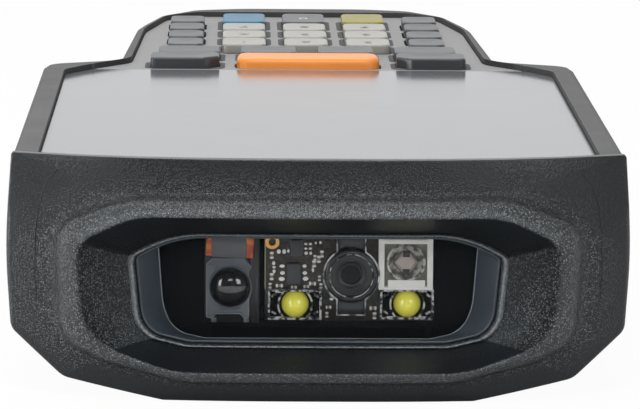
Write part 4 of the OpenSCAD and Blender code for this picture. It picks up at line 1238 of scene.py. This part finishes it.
@dataclass
class Board(Module):
    """The engine's small board with its chips. Its smallest parts are scattered and have tinned ends."""

    box: Box = (-6.8, 15.06, 7.8, 19.8)
    board_t: float = 0.8
    ring_at: Flat = (-5.85, 18.1)
    ring: Flats = ((0.45, 0.0), (0.5, -0.1), (0.9, -0.1), (0.98, 0.0))
    cut_z: Flat = (11.9, 19.4)
    chips: tuple[Box, ...] = ((-3.46, -1.8, 16.3, 18.5), (-3.92, -2.12, 12.7, 15.4))
    chip_t: float = 0.75
    seed: int = 7
    small: Flats = (
        (-0.3, 16.1), (-5.6, 14.6), (-5.9, 13.6), (-0.4, 15.3), (0.6, 16.6), (0.5, 12.4), (-6.1, 12.4),
        (0.2, 15.9), (-5.9, 16.4), (0.3, 13.4), (-0.6, 12.7), (-4.9, 12.4), (-1.4, 12.3), (-3.0, 12.2),
        (1.5, 9.6), (1.3, 8.6), (7.3, 9.5), (7.5, 8.5), (1.9, 11.0))
    small_sizes: Flats = ((0.55, 0.32), (0.45, 0.25), (0.7, 0.4))
    end_at: float = 0.45
    end_l: float = 0.42
    end_w: float = 1.3
    pads: tuple[Box, ...] = (
        (-5.0, 16.9, 0.5, 0.55), (-4.3, 16.9, 0.45, 0.6), (-3.75, 17.0, 0.3, 0.5), (-1.5, 17.9, 0.4, 0.3),
        (-0.9, 17.9, 0.4, 0.3), (-1.5, 17.3, 0.4, 0.28), (-0.9, 17.3, 0.4, 0.28), (-1.45, 16.7, 0.45, 0.4),
        (-0.85, 16.7, 0.35, 0.4), (-0.2, 18.05, 0.25, 0.3), (0.4, 18.1, 0.3, 0.35), (-5.65, 15.35, 0.4, 0.5),
        (-4.55, 15.0, 0.65, 0.4), (-4.5, 14.1, 0.6, 0.45), (-4.6, 13.3, 0.75, 0.5), (-1.65, 15.0, 0.5, 0.4),
        (-1.6, 14.1, 0.55, 0.45), (-1.5, 13.35, 0.7, 0.5), (-0.55, 14.5, 0.3, 0.55), (-5.6, 14.2, 0.3, 0.3))

    def build(self) -> None:
        """Makes the board, the gold ring in its corner, its cut edge, the chips and the small parts."""
        look, y = self.look, self.y
        x0, x1, z0, z1 = self.box
        plate = Build()
        plate.block((x0, y, z0), (x1, y + self.board_t, z1), 0.05)
        plate.make("engine_plate", look.board, slot="board_laminate", replaces=("engine_board",))
        ring = Build()
        ring.turned(self.ring, Vector((self.ring_at[0], y, self.ring_at[1])), 32)
        ring.make("board_pad", look.gold, slot="contact_gold")
        cut = Build()
        cut.block((x0 - 0.04, y - 0.06, self.cut_z[0]), (x0 + 0.12, y + 0.7, self.cut_z[1]), 0.02)
        cut.make("board_cut_edge", look.cut_edge, slot="board_laminate")
        chips = Build()
        for left, right, low, high in self.chips:
            chips.block((left, y - self.chip_t, low), (right, y, high), 0.08)
        chips.make("board_chips", look.chip, slot="chip_resin", replaces=("engine_chips",))
        self.build_small()

    def build_small(self) -> None:
        """Scatters the small parts with their tinned ends over the board, and the bare tinned pads."""
        rng = random.Random(self.seed)
        bodies, ends = [], []
        for x, z in self.small:
            tall = rng.random() < 0.5
            length, width = rng.choice(self.small_sizes)
            turn = Vector((0, math.pi / 2 if tall else 0, 0))
            along = Vector((0, 0, length)) if tall else Vector((length, 0, 0))
            bodies.append((Vector((x, self.y - 0.16, z)), turn, Vector((length, 0.3, width))))
            for end in (-1, 1):
                ends.append((Vector((x, self.y - 0.2, z)) + along * end * self.end_at, turn,
                             Vector((length * self.end_l, 0.4, width * self.end_w))))
        for x, z, wide, high in self.pads:
            ends.append((Vector((x, self.y - 0.2, z)), Vector((0, 0, 0)), Vector((wide, 0.45, high))))
        shape = stamp("small_part_shape")
        copies("small_part_bodies", bodies, shape, self.look.ceramic)
        copies("small_part_ends", ends, shape, self.look.tin)


@dataclass
class MainLens(Module):
    """The main lens in its barrel, with the keyhole-shaped holder around it."""

    x: float = 4.41
    z: float = 14.0
    holder: Flats = ((2.75, -1.2), (2.85, -1.9), (3.1, -2.0), (3.45, -1.9), (3.62, -1.6), (3.66, -0.9),
                     (3.66, 0), (2.75, 0))
    legs: Corners = ((1.75, 16.9, 19.3), (1.85, 8.6, 11.1))
    edge_x: float = 1.85
    edge_z: Flat = (8.7, 19.2)
    edge_r: float = 3.6
    lip_r: float = 2.82
    steps: Flats = (
        (2.76, -1.4), (2.7, -1.2), (2.0, -1.1), (1.95, -1.18), (1.8, -1.18), (1.74, -1.0), (1.5, -0.9),
        (1.46, -0.97), (1.3, -0.97), (1.2, -0.4), (2.76, -0.4))
    glass: Flats = ((0, -0.84), (0.4, -0.838), (0.8, -0.83), (1.2, -0.81), (1.24, -0.2))

    def build(self) -> None:
        """Makes the holder with the painted highlights on its edge and lip, the steps in front of the lens,
        and the lens.
        """
        look, x, y = self.look, self.x, self.y
        middle = Vector((x, y, self.z))
        holder = Build()
        holder.turned(self.holder, middle, 64)
        for half, low, high in self.legs:
            holder.block((x - half, y - 0.9, low), (x + half, y - 0.1, high), 0.12)
        holder.make("lens_holder", look.smoke, slot="barrel_plastic", replaces=("lens_barrel",), sharp=50)
        front, start = middle - Vector((0, 1.9, 0)), math.asin(self.edge_x / self.edge_r)
        left = arc_at(front, self.edge_r, 1.5 * math.pi - start, 0.5 * math.pi + start, 25)
        right = arc_at(front, self.edge_r, 0.5 * math.pi - start, -0.5 * math.pi + start, 25)
        ends = [[Vector((x + side * self.edge_x, y - 0.95, z)) for z in self.edge_z] for side in (-1, 1)]
        edge = [ends[0][0], *left, ends[0][1], ends[1][1], *right, ends[1][0]]
        bead("lens_holder_edge", edge, 0.13, look.pale_acrylic, True)
        lip = arc_at(middle - Vector((0, 1.95, 0)), self.lip_r, 0.0, math.tau, 49)[:-1]
        bead("lens_holder_lip", lip, 0.07, look.acrylic, True)
        barrel = Build()
        barrel.turned(self.steps, middle, 64)
        barrel.make("lens_steps", look.barrel, slot="barrel_plastic", sharp=30)
        glass = Build()
        glass.turned(self.glass, middle)
        glass.make("main_lens", look.flat_lens, slot="lens_glass", replaces=("center_lens",))


@dataclass
class Lamps(Module):
    """The two yellow domes, each in a clear square frame over a dark pocket."""

    spots: Flats = ((-2.85, 10.1), (11.7, 10.2))
    box: Box = (-3.55, 3.45, -1.95, 1.95)
    frame_side: float = 0.32
    frame_end: float = 0.24
    prism_at: Flat = (2.75, 1.15)
    prism_half: Flat = (0.35, 0.14)
    prism_turn: float = 0.6
    bracket_r: float = 2.2
    bracket_turn: float = 0.8
    bracket_end: Flat = (2.6, 1.7)
    dome: Flats = ((0.0, -2.0), (0.35, -1.97), (0.8, -1.84), (1.2, -1.58), (1.55, -1.18), (1.76, -0.7),
                   (1.8, -0.3), (1.8, 0.0))
    # Share of the deep colour at each profile point: painted shade towards the dome's foot
    dome_shade: Numbers = (0.0, 0.0, 0.1, 0.25, 0.5, 0.8, 1.0, 1.0)

    def build(self) -> None:
        """Makes the brackets beside the domes, the pockets, the frames, the prisms and the domes."""
        look, y = self.look, self.y
        frames, domes, pockets, prisms = Build(), Build(), Build(), Build()
        for x, z in self.spots:
            x0, x1, z0, z1 = x + self.box[0], x + self.box[1], z + self.box[2], z + self.box[3]
            pockets.block((x0 + 0.3, y - 0.3, z0 + 0.2), (x1 - 0.3, y, z1 - 0.2), 0.05)
            frames.bars((x0, x1, z0, z1), (y - 1.7, y), self.frame_side, self.frame_end, self.frame_end, 0.1)
            for side in (-1, 1):
                self.add_prisms(prisms, x + side * self.prism_at[0], z, side)
                self.build_bracket(x, z, side)
            domes.turned(self.dome, Vector((x, y - 0.2, z)), 40, self.dome_shade)
        pockets.make("lamp_pockets", look.room, slot="shield_plastic")
        frames.make("lamp_frames", look.acrylic, slot="lamp_plastic", replaces=("lamp_reflectors",))
        prisms.make("lamp_prisms", look.acrylic, slot="lamp_plastic")
        domes.make("lamp_silicone_domes", look.lamp, slot="lamp_silicone", replaces=("lamp_domes",), sharp=60)

    def add_prisms(self, prisms: Build, x: float, z: float, side: int) -> None:
        """Adds the two slanted prisms at one side of a dome.

        Args:
            prisms: The piece that takes them.
            x: Their middle across.
            z: Height of the dome's axis.
            side: -1 for the dome's left side, 1 for its right.
        """
        half_x, half_z = self.prism_half
        for way in (1, -1):
            turn = Matrix.Rotation(self.prism_turn * side * way, 3, "Y")
            middle = z + way * self.prism_at[1]
            prisms.block((x - half_x, self.y - 1.2, middle - half_z),
                         (x + half_x, self.y - 0.5, middle + half_z), 0.06, turn)

    def build_bracket(self, x: float, z: float, side: int) -> None:
        """Makes the round bracket at one side of a dome.

        Args:
            x: Place of the dome's axis across.
            z: Height of the dome's axis.
            side: -1 for the dome's left side, 1 for its right.
        """
        towards, turn = (0.0 if side == 1 else math.pi), side * self.bracket_turn
        front = Vector((x, self.y - 1.45, z))
        arc = arc_at(front, self.bracket_r, towards - turn, towards + turn, 17)
        out, up = Vector((side * self.bracket_end[0], 0, 0)), Vector((0, 0, self.bracket_end[1]))
        name = f"lamp_bracket_{'left' if x < 0 else 'right'}_{'inner' if side * x < 0 else 'outer'}"
        bead(name, [front + out - up, *arc, front + out + up], 0.13, self.look.acrylic)


@dataclass
class Aimer(Module):
    """The clear aiming block with the diamond inside and the white bar under it."""

    box: Box = (7.95, 15.0, 12.15, 18.75)
    frame_side: float = 0.75
    frame_bottom: float = 0.35
    frame_top: float = 0.6
    middle: Flat = (11.525, 15.7)
    bowl: Flats = ((2.55, -1.35), (2.3, -0.9), (1.9, -0.55), (1.5, -0.45), (1.5, -0.36), (2.56, -0.36))
    arc_r: float = 2.35
    arc_turn: float = 0.45 * math.pi
    diamond: Flat = (1.55, 1.9)
    square: Flat = (0.45, 0.42)
    square_z: Flat = (-1.25, 1.15)

    def build(self) -> None:
        """Makes the block's frame and back, the bowl with its arcs, the diamond, the squares and the bar."""
        look, y = self.look, self.y
        x0, x1, z0, z1 = self.box
        x, z = self.middle
        block = Build()
        block.bars(self.box, (y - 1.7, y), self.frame_side, self.frame_bottom, self.frame_top, 0.1)
        block.make("aimer_frame", look.guide, slot="clear_optic", replaces=("aimer_lens",))
        back = Build()
        back.block((x0 + 0.7, y - 0.35, z0 + 0.3), (x1 - 0.7, y, z1 - 0.5), 0.04)
        back.make("aimer_back", look.diffuser, slot="clear_optic")
        bowl = Build()
        bowl.turned(self.bowl, Vector((x, y, z)), 40)
        bowl.make("aimer_bowl", look.bowl, slot="clear_optic")
        front, turn = Vector((x, y - 1.2, z)), self.arc_turn
        for name, towards in (("left", math.pi), ("right", 0.0)):
            arc = arc_at(front, self.arc_r, towards - turn, towards + turn, 25)
            bead(f"aimer_arc_{name}", arc, 0.16, look.bowl)
        gem = Build()
        wide, high = self.diamond
        gem.slab([(x + wide, z), (x, z + high), (x - wide, z), (x, z - high)], y - 1.5, y - 0.4, 0.5)
        gem.make("aimer_diamond", look.gem, slot="clear_optic", sharp=15)
        dark = Build()
        wide, high = self.square
        for spot in (z + dz for dz in self.square_z):
            dark.block((x - wide, y - 1.62, spot - high), (x + wide, y - 1.45, spot + high), 0.04)
        dark.make("aimer_squares", look.barrel, slot="chip_resin")
        bar = Build()
        bar.block((x0 + 1.2, y - 1.85, z0 + 0.35), (x1 - 1.0, y - 1.5, z0 + 1.3), 0.12)
        bar.make("aimer_bar", look.guide, slot="clear_optic")


@dataclass
class FarCamera(Module):
    """The second camera: its housing, the stepped front plate and a ball-like lens."""

    x: float = -11.3
    z: float = 12.35
    plate: Corners = (
        (-14.4, 8.3, 0.3), (-13.4, 8.3, 0.5), (-13.2, 8.8, 0.3), (-9.9, 8.8, 0.3), (-9.7, 8.3, 0.5),
        (-8.8, 8.3, 0.3), (-8.8, 15.4, 0.6), (-9.5, 16.1, 0.4), (-13.7, 16.1, 0.4), (-14.4, 15.4, 0.6))
    ring: Flats = ((2.6, -1.3), (2.66, -1.55), (2.78, -1.58), (2.86, -1.28))
    ball_r: float = 2.62
    ball_rise: float = 1.5

    def build(self) -> None:
        """Makes the housing, the front plate with a painted highlight on its edge, the ring with its lugs,
        and the lens.
        """
        look, x, y = self.look, self.x, self.y
        house = Build()
        house.block((-14.6, y - 0.3, 7.6), (-7.5, y + 6.0, 19.6), 0.1)
        house.block((-8.65, y - 1.25, 7.6), (-7.55, y - 0.2, 19.0), 0.12)
        house.make("far_camera_body", look.barrel, slot="barrel_plastic", replaces=("far_camera_housing",),
                   sharp=30)
        face = Build()
        face.slab(outline(list(self.plate), 4), y - 1.3, y, 0.18)
        face.make("far_camera_face", look.camera_face, slot="barrel_plastic", sharp=30)
        # A pale bead round the plate: a painted highlight on its edge
        rim = [Vector((px, y - 1.28, pz)) for px, pz in outline(inset(list(self.plate), 0.06), 4)]
        bead("far_camera_edge", rim, 0.07, look.edge, True)
        ring = Build()
        ring.turned(self.ring, Vector((x, y, self.z)), 56)
        ring.block((-13.4, y - 1.45, 8.95), (-9.7, y - 1.2, 9.35), 0.08)
        for side in (-1, 1):
            upper, lower = x + side * 2.45, x + side * 2.1
            ring.block((upper - 0.3, y - 1.5, 14.6), (upper + 0.3, y - 1.2, 15.3), 0.1)
            ring.block((lower - 0.35, y - 1.4, 7.75), (lower + 0.35, y - 0.9, 8.35), 0.08)
        ring.make("far_lens_ring", look.camera_face, slot="barrel_plastic")
        ball = Build()
        turns = [math.pi / 2 * k / 10 for k in range(11)]
        profile = tuple((self.ball_r * math.sin(t), -1.25 - self.ball_rise * math.cos(t)) for t in turns)
        ball.turned(profile, Vector((x, y, self.z)), 56)
        ball.make("far_ball_lens", look.lens, slot="lens_glass", replaces=("far_lens",), sharp=80)


@dataclass
class Film(Module):
    """The amber film folded over the second camera, with its grey stiffener."""

    film: Flats = ((-14.5, 16.5), (-8.4, 16.15), (-8.1, 19.8), (-14.3, 19.9))
    pad: Flats = ((-13.7, 16.35), (-9.2, 16.1), (-9.2, 19.8), (-13.7, 19.9))

    def build(self) -> None:
        """Makes the film's front and top, and the stiffener on its front."""
        y = self.y
        film = Build()
        film.slab(self.film, y - 1.35, y - 1.1, 0.05)
        film.block((-14.3, y - 1.1, 19.6), (-8.2, y + 12.0, 19.9))
        film.make("folded_film", self.look.film, slot="flex_film", replaces=("flex_cable",))
        pad = Build()
        pad.slab(self.pad, y - 1.6, y - 1.3, 0.08)
        pad.make("film_stiffener", self.look.stiffener, slot="chip_resin")


@dataclass
class Engine(Assembly):
    """The scan engine behind the window: its modules and the dark room around them."""

    def build(self) -> None:
        """Makes everything that shows through the window."""
        look = self.look
        for module in (Board, MainLens, Lamps, Aimer, FarCamera, Film):
            module(look).build()
        for node, finish in (("engine_shield", look.room), ("engine_bracket", look.room),
                             ("engine_chassis", look.chassis), ("window_seal", look.foam)):
            soften(node, finish)


@dataclass
class Display(Assembly):
    """The display's glass, which is a mirror at the flat angle of the photograph."""

    def build(self) -> None:
        """Dresses the glass, its gasket and the panel."""
        soften("cover_glass", self.look.display)
        soften("glass_gasket", self.look.foam)
        soften("display_panel", self.look.panel)


class KeyColour(Enum):
    """The colours that keys come in, by the names of their finishes and slots."""

    DARK = "dark_key"
    LIGHT = "light_key"
    ORANGE = "orange_key"
    BLUE = "blue_key"
    YELLOW = "yellow_key"


@dataclass
class Keypad(Assembly):
    """The keypad: a grey plate with the orange scan key, dark keys and pale number keys."""

    cap_in: float = 0.6
    flange_t: float = 0.6
    corner_r: float = 1.2
    edge_r: float = 0.35
    scan_corner_r: float = 1.8
    scan_edge_r: float = 1.0
    cut: float = 2.2
    dish: Flats = ((0.7, 0.06), (0.4, 0.12), (0.12, 0.14))
    digit: float = 3.2
    print_t: float = 0.02
    well_in: float = 0.5
    well_w: float = 0.75
    well_t: float = 0.4
    well_r: float = 1.3

    def build(self) -> None:
        """Makes every key with its number, and the wells around the keys."""
        soften("keypad_plate", self.look.plate, 0.15)
        soften("keypad_mat", self.look.mat)
        wells = Build()
        for node in (b for b in frame["bodies"] if "key" in b):
            self.build_key(node)
            if not node.startswith("side") and self.colour_of(node) is not KeyColour.ORANGE:
                self.add_well(wells, node)
        wells.make("key_wells", self.look.mat, slot="mat_rubber")

    def colour_of(self, node: str) -> KeyColour:
        """The colour of a key.

        Args:
            node: Name of the key's solid.

        Returns:
            Its colour.
        """
        if node == "scan_key":
            return KeyColour.ORANGE
        if node in ("blue_key", "yellow_key"):
            return KeyColour(node)
        return KeyColour.LIGHT if node.startswith("key_") and node != "key_0" else KeyColour.DARK

    def place_of(self, node: str, margin: float) -> tuple[Box, Flat]:
        """Where a key lies.

        Args:
            node: Name of the key's solid.
            margin: How far the sides are moved in.

        Returns:
            Its sides across and along the terminal, and its lower and upper height.
        """
        low, high = (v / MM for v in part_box(node))
        across = low.x + margin, high.x - margin
        return (*across, low.y - NOSE_Y + margin, high.y - NOSE_Y - margin), (low.z, high.z)

    def add_well(self, wells: Build, node: str) -> None:
        """Adds the dark gap around a key, in which the mat shows.

        Args:
            wells: The piece that takes it.
            node: Name of the key's solid.
        """
        key = rectangle(*self.place_of(node, self.well_in)[0], self.well_r)
        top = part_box("keypad_plate")[1].z / MM + 0.03
        low, wide = top - self.well_t, -self.well_w
        wells.rings([[Vector((x, y, z)) for x, y in outline(inset(key, d), 6)]
                     for z, d in ((low, wide), (top, wide), (top, 0.0), (low, 0.0), (low, wide))])

    def build_key(self, node: str) -> None:
        """Makes one key as a rounded cap with a soft edge and a slightly dished top.

        Args:
            node: Name of the key's solid and of its body.
        """
        (x0, x1, y0, y1), (foot, top) = self.place_of(node, self.cap_in)
        colour = self.colour_of(node)
        scan = colour is KeyColour.ORANGE
        edge = self.scan_edge_r if scan else self.edge_r
        corners = rectangle(x0, x1, y0, y1, self.scan_corner_r if scan else self.corner_r)
        if "action" in node:
            inner, outer, way = (x0, x1, 1) if x0 > 0 else (x1, x0, -1)
            corners = [(inner + way * self.cut, y0, 0.5), (outer, y0, 0.8), (outer, y1, self.corner_r),
                       (inner, y1, self.corner_r), (inner, y0 + self.cut, 0.5)][::way]
        flange = foot + self.flange_t
        levels = [(foot, -self.cap_in), (flange, -self.cap_in), (flange, 0.0), (top - edge, 0.0)]
        levels += [(top - edge * (1 - math.sin(t)), edge * (1 - math.cos(t)))
                   for t in (math.pi / 2 * k / 5 for k in range(1, 6))]
        rings = [[Vector((x, y, z)) for x, y in outline(inset(corners, d), 7, 2)] for z, d in levels]
        middle, rim = Vector(((x0 + x1) / 2, (y0 + y1) / 2, top)), rings[-1]
        rings += [[middle + (p - middle) * share - Vector((0, 0, dip)) for p in rim]
                  for share, dip in self.dish]
        build = Build()
        build.rings(rings, caps=True)
        build.make(f"{node}_cap", getattr(self.look, colour.value), node, colour.value, (node,), sharp=50)
        if node.startswith("key_"):
            self.build_number(node, middle - Vector((0, 0, self.dish[-1][1])))

    def build_number(self, node: str, middle: Vector) -> None:
        """Prints the key's number on its top, to be read from the grip's end.

        Args:
            node: Name of the key's body.
            middle: Middle of its top.
        """
        curve = bpy.data.curves.new(f"{node}_number", "FONT")
        curve.body = node[-1]
        curve.size = self.digit * MM
        curve.align_x, curve.align_y = "CENTER", "CENTER"
        curve.extrude = self.print_t * MM
        label = bpy.data.objects.new("label", curve)
        bpy.context.scene.collection.objects.link(label)
        graph = bpy.context.evaluated_depsgraph_get()
        mesh = bpy.data.meshes.new_from_object(label.evaluated_get(graph))
        bpy.data.objects.remove(label)
        spot = metres(middle + Vector((0, 0, 0.03)))
        mesh.transform(Matrix.Translation(spot) @ Matrix.Rotation(math.pi, 4, "Z"))
        colour = self.colour_of(node)
        ink = self.look.pale_ink if colour is KeyColour.DARK else self.look.ink
        settle(bpy.data.objects.new(f"{node}_number", mesh), ink, node)


@dataclass
class Shells(Assembly):
    """The two shells with what is set into them from below and from the sides."""

    def build(self) -> None:
        """Dresses the shells, the battery, the latch, the triggers and the small parts."""
        look = self.look
        for node, finish, bevel in (
                ("front_housing", look.front, 0.15), ("rear_housing", look.rear, 0.1),
                ("battery_pack", look.rear, 0.3), ("battery_latch", look.rubber, 0.15),
                ("left_trigger", look.rubber, 0.1), ("right_trigger", look.rubber, 0.1),
                ("housing_screws", look.steel, 0.1), ("main_board", look.green_board, 0.0),
                ("speaker", look.foam, 0.0), ("dock_connector", look.barrel, 0.0),
                ("dock_pins", look.gold, 0.05)):
            # Both mouldings of the rear have large flat faces
            soften(node, finish, bevel, finish is look.rear)


@dataclass(frozen=True)
class AreaLamp:
    """A soft lamp of the studio: its place and size in metres, and its power in watts."""

    name: str
    spot: Corner
    size: Flat
    power: float

    def build(self, target: Corner) -> None:
        """Hangs the lamp, turned to the target.

        Args:
            target: The place it shines at, in metres.
        """
        data = bpy.data.lights.new(self.name, "AREA")
        data.shape, data.energy = "RECTANGLE", self.power
        data.size, data.size_y = self.size
        lamp = bpy.data.objects.new(self.name, data)
        bpy.context.scene.collection.objects.link(lamp)
        lamp.location = self.spot
        lamp.rotation_euler = (Vector(target) - Vector(self.spot)).to_track_quat("-Z", "Y").to_euler()


@dataclass
class Studio:
    """The floor, the lamps, the white surroundings and the camera at the photograph's angle.

    The camera was found from the edges of the display and the rows of keys. Its place is in millimetres.
    """

    lens_mm: float = 275.7
    sensor_mm: float = 36.0
    camera_at: Corner = (-10.31, -707.42, 111.44)
    camera_right: Corner = (0.99985, -0.01586, 0.00718)
    camera_up: Corner = (-0.0049, 0.13917, 0.99026)
    camera_back: Corner = (-0.01671, -0.99014, 0.13907)
    floor_half: float = 3.0
    target: Corner = (0, -0.04, 0.015)
    lamps: tuple[AreaLamp, ...] = (
        AreaLamp("overhead", (-0.12, 0.2, 0.6), (0.6, 0.6), 3.9),
        AreaLamp("overhead_front", (0.0, -0.45, 0.6), (0.3, 0.16), 2.4),
        AreaLamp("left_low", (-0.75, -0.05, 0.06), (0.1, 0.12), 1.9),
        AreaLamp("right_low", (0.75, -0.05, 0.06), (0.1, 0.12), 0.3),
        AreaLamp("high_left", (-0.5, -0.3, 0.4), (0.15, 0.15), 0.45),
        AreaLamp("left_strip", (-0.43, -0.58, 0.27), (0.14, 0.5), 1.25),
        AreaLamp("right_strip", (0.34, -0.62, 0.26), (0.22, 0.32), 0.95),
        AreaLamp("front", (0.0, -0.75, 0.3), (0.2, 0.1), 0.2))

    def build(self) -> None:
        """Sets up the whole studio."""
        self.build_world()
        self.build_floor()
        for lamp in self.lamps:
            lamp.build(self.target)
        self.build_camera()
        bpy.context.scene.view_settings.view_transform = "Standard"

    def seen_directly(self, tree: NodeTree) -> tuple[Node, NodeSocket]:
        """Tells apart the rays that reach the eye, also through clear pieces.

        Args:
            tree: Tree that takes the nodes.

        Returns:
            The node of the ray's kinds, and 1 for a ray to the eye or else 0.
        """
        path = add(tree, "ShaderNodeLightPath")
        kinds = (path.outputs["Is Camera Ray"], path.outputs["Is Transmission Ray"])
        direct = add(tree, "ShaderNodeMath", kinds, operation="MAXIMUM")
        return path, direct.outputs[0]

    def build_world(self) -> None:
        """White surroundings to the eye and in reflections, and a soft even light on the object."""
        world = bpy.data.worlds.new("surroundings")
        bpy.context.scene.world = world
        world.use_nodes = True
        tree = world.node_tree
        tree.nodes.clear()
        place = add(tree, "ShaderNodeTexCoord")
        axes = add(tree, "ShaderNodeSeparateXYZ", (place.outputs["Generated"],))
        glow = add(tree, "ShaderNodeMapRange", (axes.outputs["Y"], -0.7, 0.5, 0.12, 0.95),
                   interpolation_type="SMOOTHSTEP")
        path, direct = self.seen_directly(tree)
        seen = add(tree, "ShaderNodeMix", {0: direct, 2: glow, 3: 1.0})
        soft = add(tree, "ShaderNodeMix", {0: path.outputs["Is Diffuse Ray"], 2: seen, 3: 0.05})
        back = add(tree, "ShaderNodeBackground", {"Color": (1, 1, 1, 1), "Strength": soft})
        add(tree, "ShaderNodeOutputWorld", {"Surface": back})

    def build_floor(self) -> None:
        """A pale floor that looks white to the eye and keeps the object's shadow."""
        corners = rectangle(-self.floor_half, self.floor_half, -self.floor_half, self.floor_half, 0.0)
        mesh = bpy.data.meshes.new("floor")
        mesh.from_pydata(corners, [], [(0, 1, 2, 3)])
        floor = bpy.data.objects.new("floor", mesh)
        bpy.context.scene.collection.objects.link(floor)
        # Matt white table: grey to the light, and nearly white by itself to the eye
        material = bpy.data.materials.new("matt_white_table")
        material.use_nodes = True
        tree = material.node_tree
        tree.nodes.clear()
        dull = add(tree, "ShaderNodeBsdfDiffuse", {"Color": (0.75, 0.75, 0.75, 1)})
        white = add(tree, "ShaderNodeEmission", {"Color": (1, 1, 1, 1), "Strength": 1.0})
        path, direct = self.seen_directly(tree)
        seen = add(tree, "ShaderNodeMath", (direct, 0.96), operation="MULTIPLY")
        share = add(tree, "ShaderNodeMath", (path.outputs["Is Glossy Ray"], 0.25, seen),
                    operation="MULTIPLY_ADD", use_clamp=True)
        mix = add(tree, "ShaderNodeMixShader", (share, dull, white))
        add(tree, "ShaderNodeOutputMaterial", {"Surface": mix})
        mesh.materials.append(material)

    def build_camera(self) -> None:
        """The camera of the photograph."""
        data = bpy.data.cameras.new("camera")
        data.lens, data.sensor_width = self.lens_mm, self.sensor_mm
        data.clip_start, data.clip_end = 0.01, 20
        camera = bpy.data.objects.new("camera", data)
        bpy.context.scene.collection.objects.link(camera)
        turn = Matrix((self.camera_right, self.camera_up, self.camera_back)).transposed().to_4x4()
        camera.matrix_world = Matrix.Translation(Vector(self.camera_at) * MM) @ turn
        bpy.context.scene.camera = camera


def main() -> None:
    """Builds the terminal piece by piece, then the studio."""
    logging.basicConfig(level=logging.INFO, format="%(message)s")
    look = Finishes()
    for assembly in (Nose(look), Engine(look), Display(look), Keypad(look), Shells(look)):
        assembly.build()
        log.info("made %s", type(assembly).__name__.lower())
    Studio().build()
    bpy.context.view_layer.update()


if __name__ == "__main__":
    main()
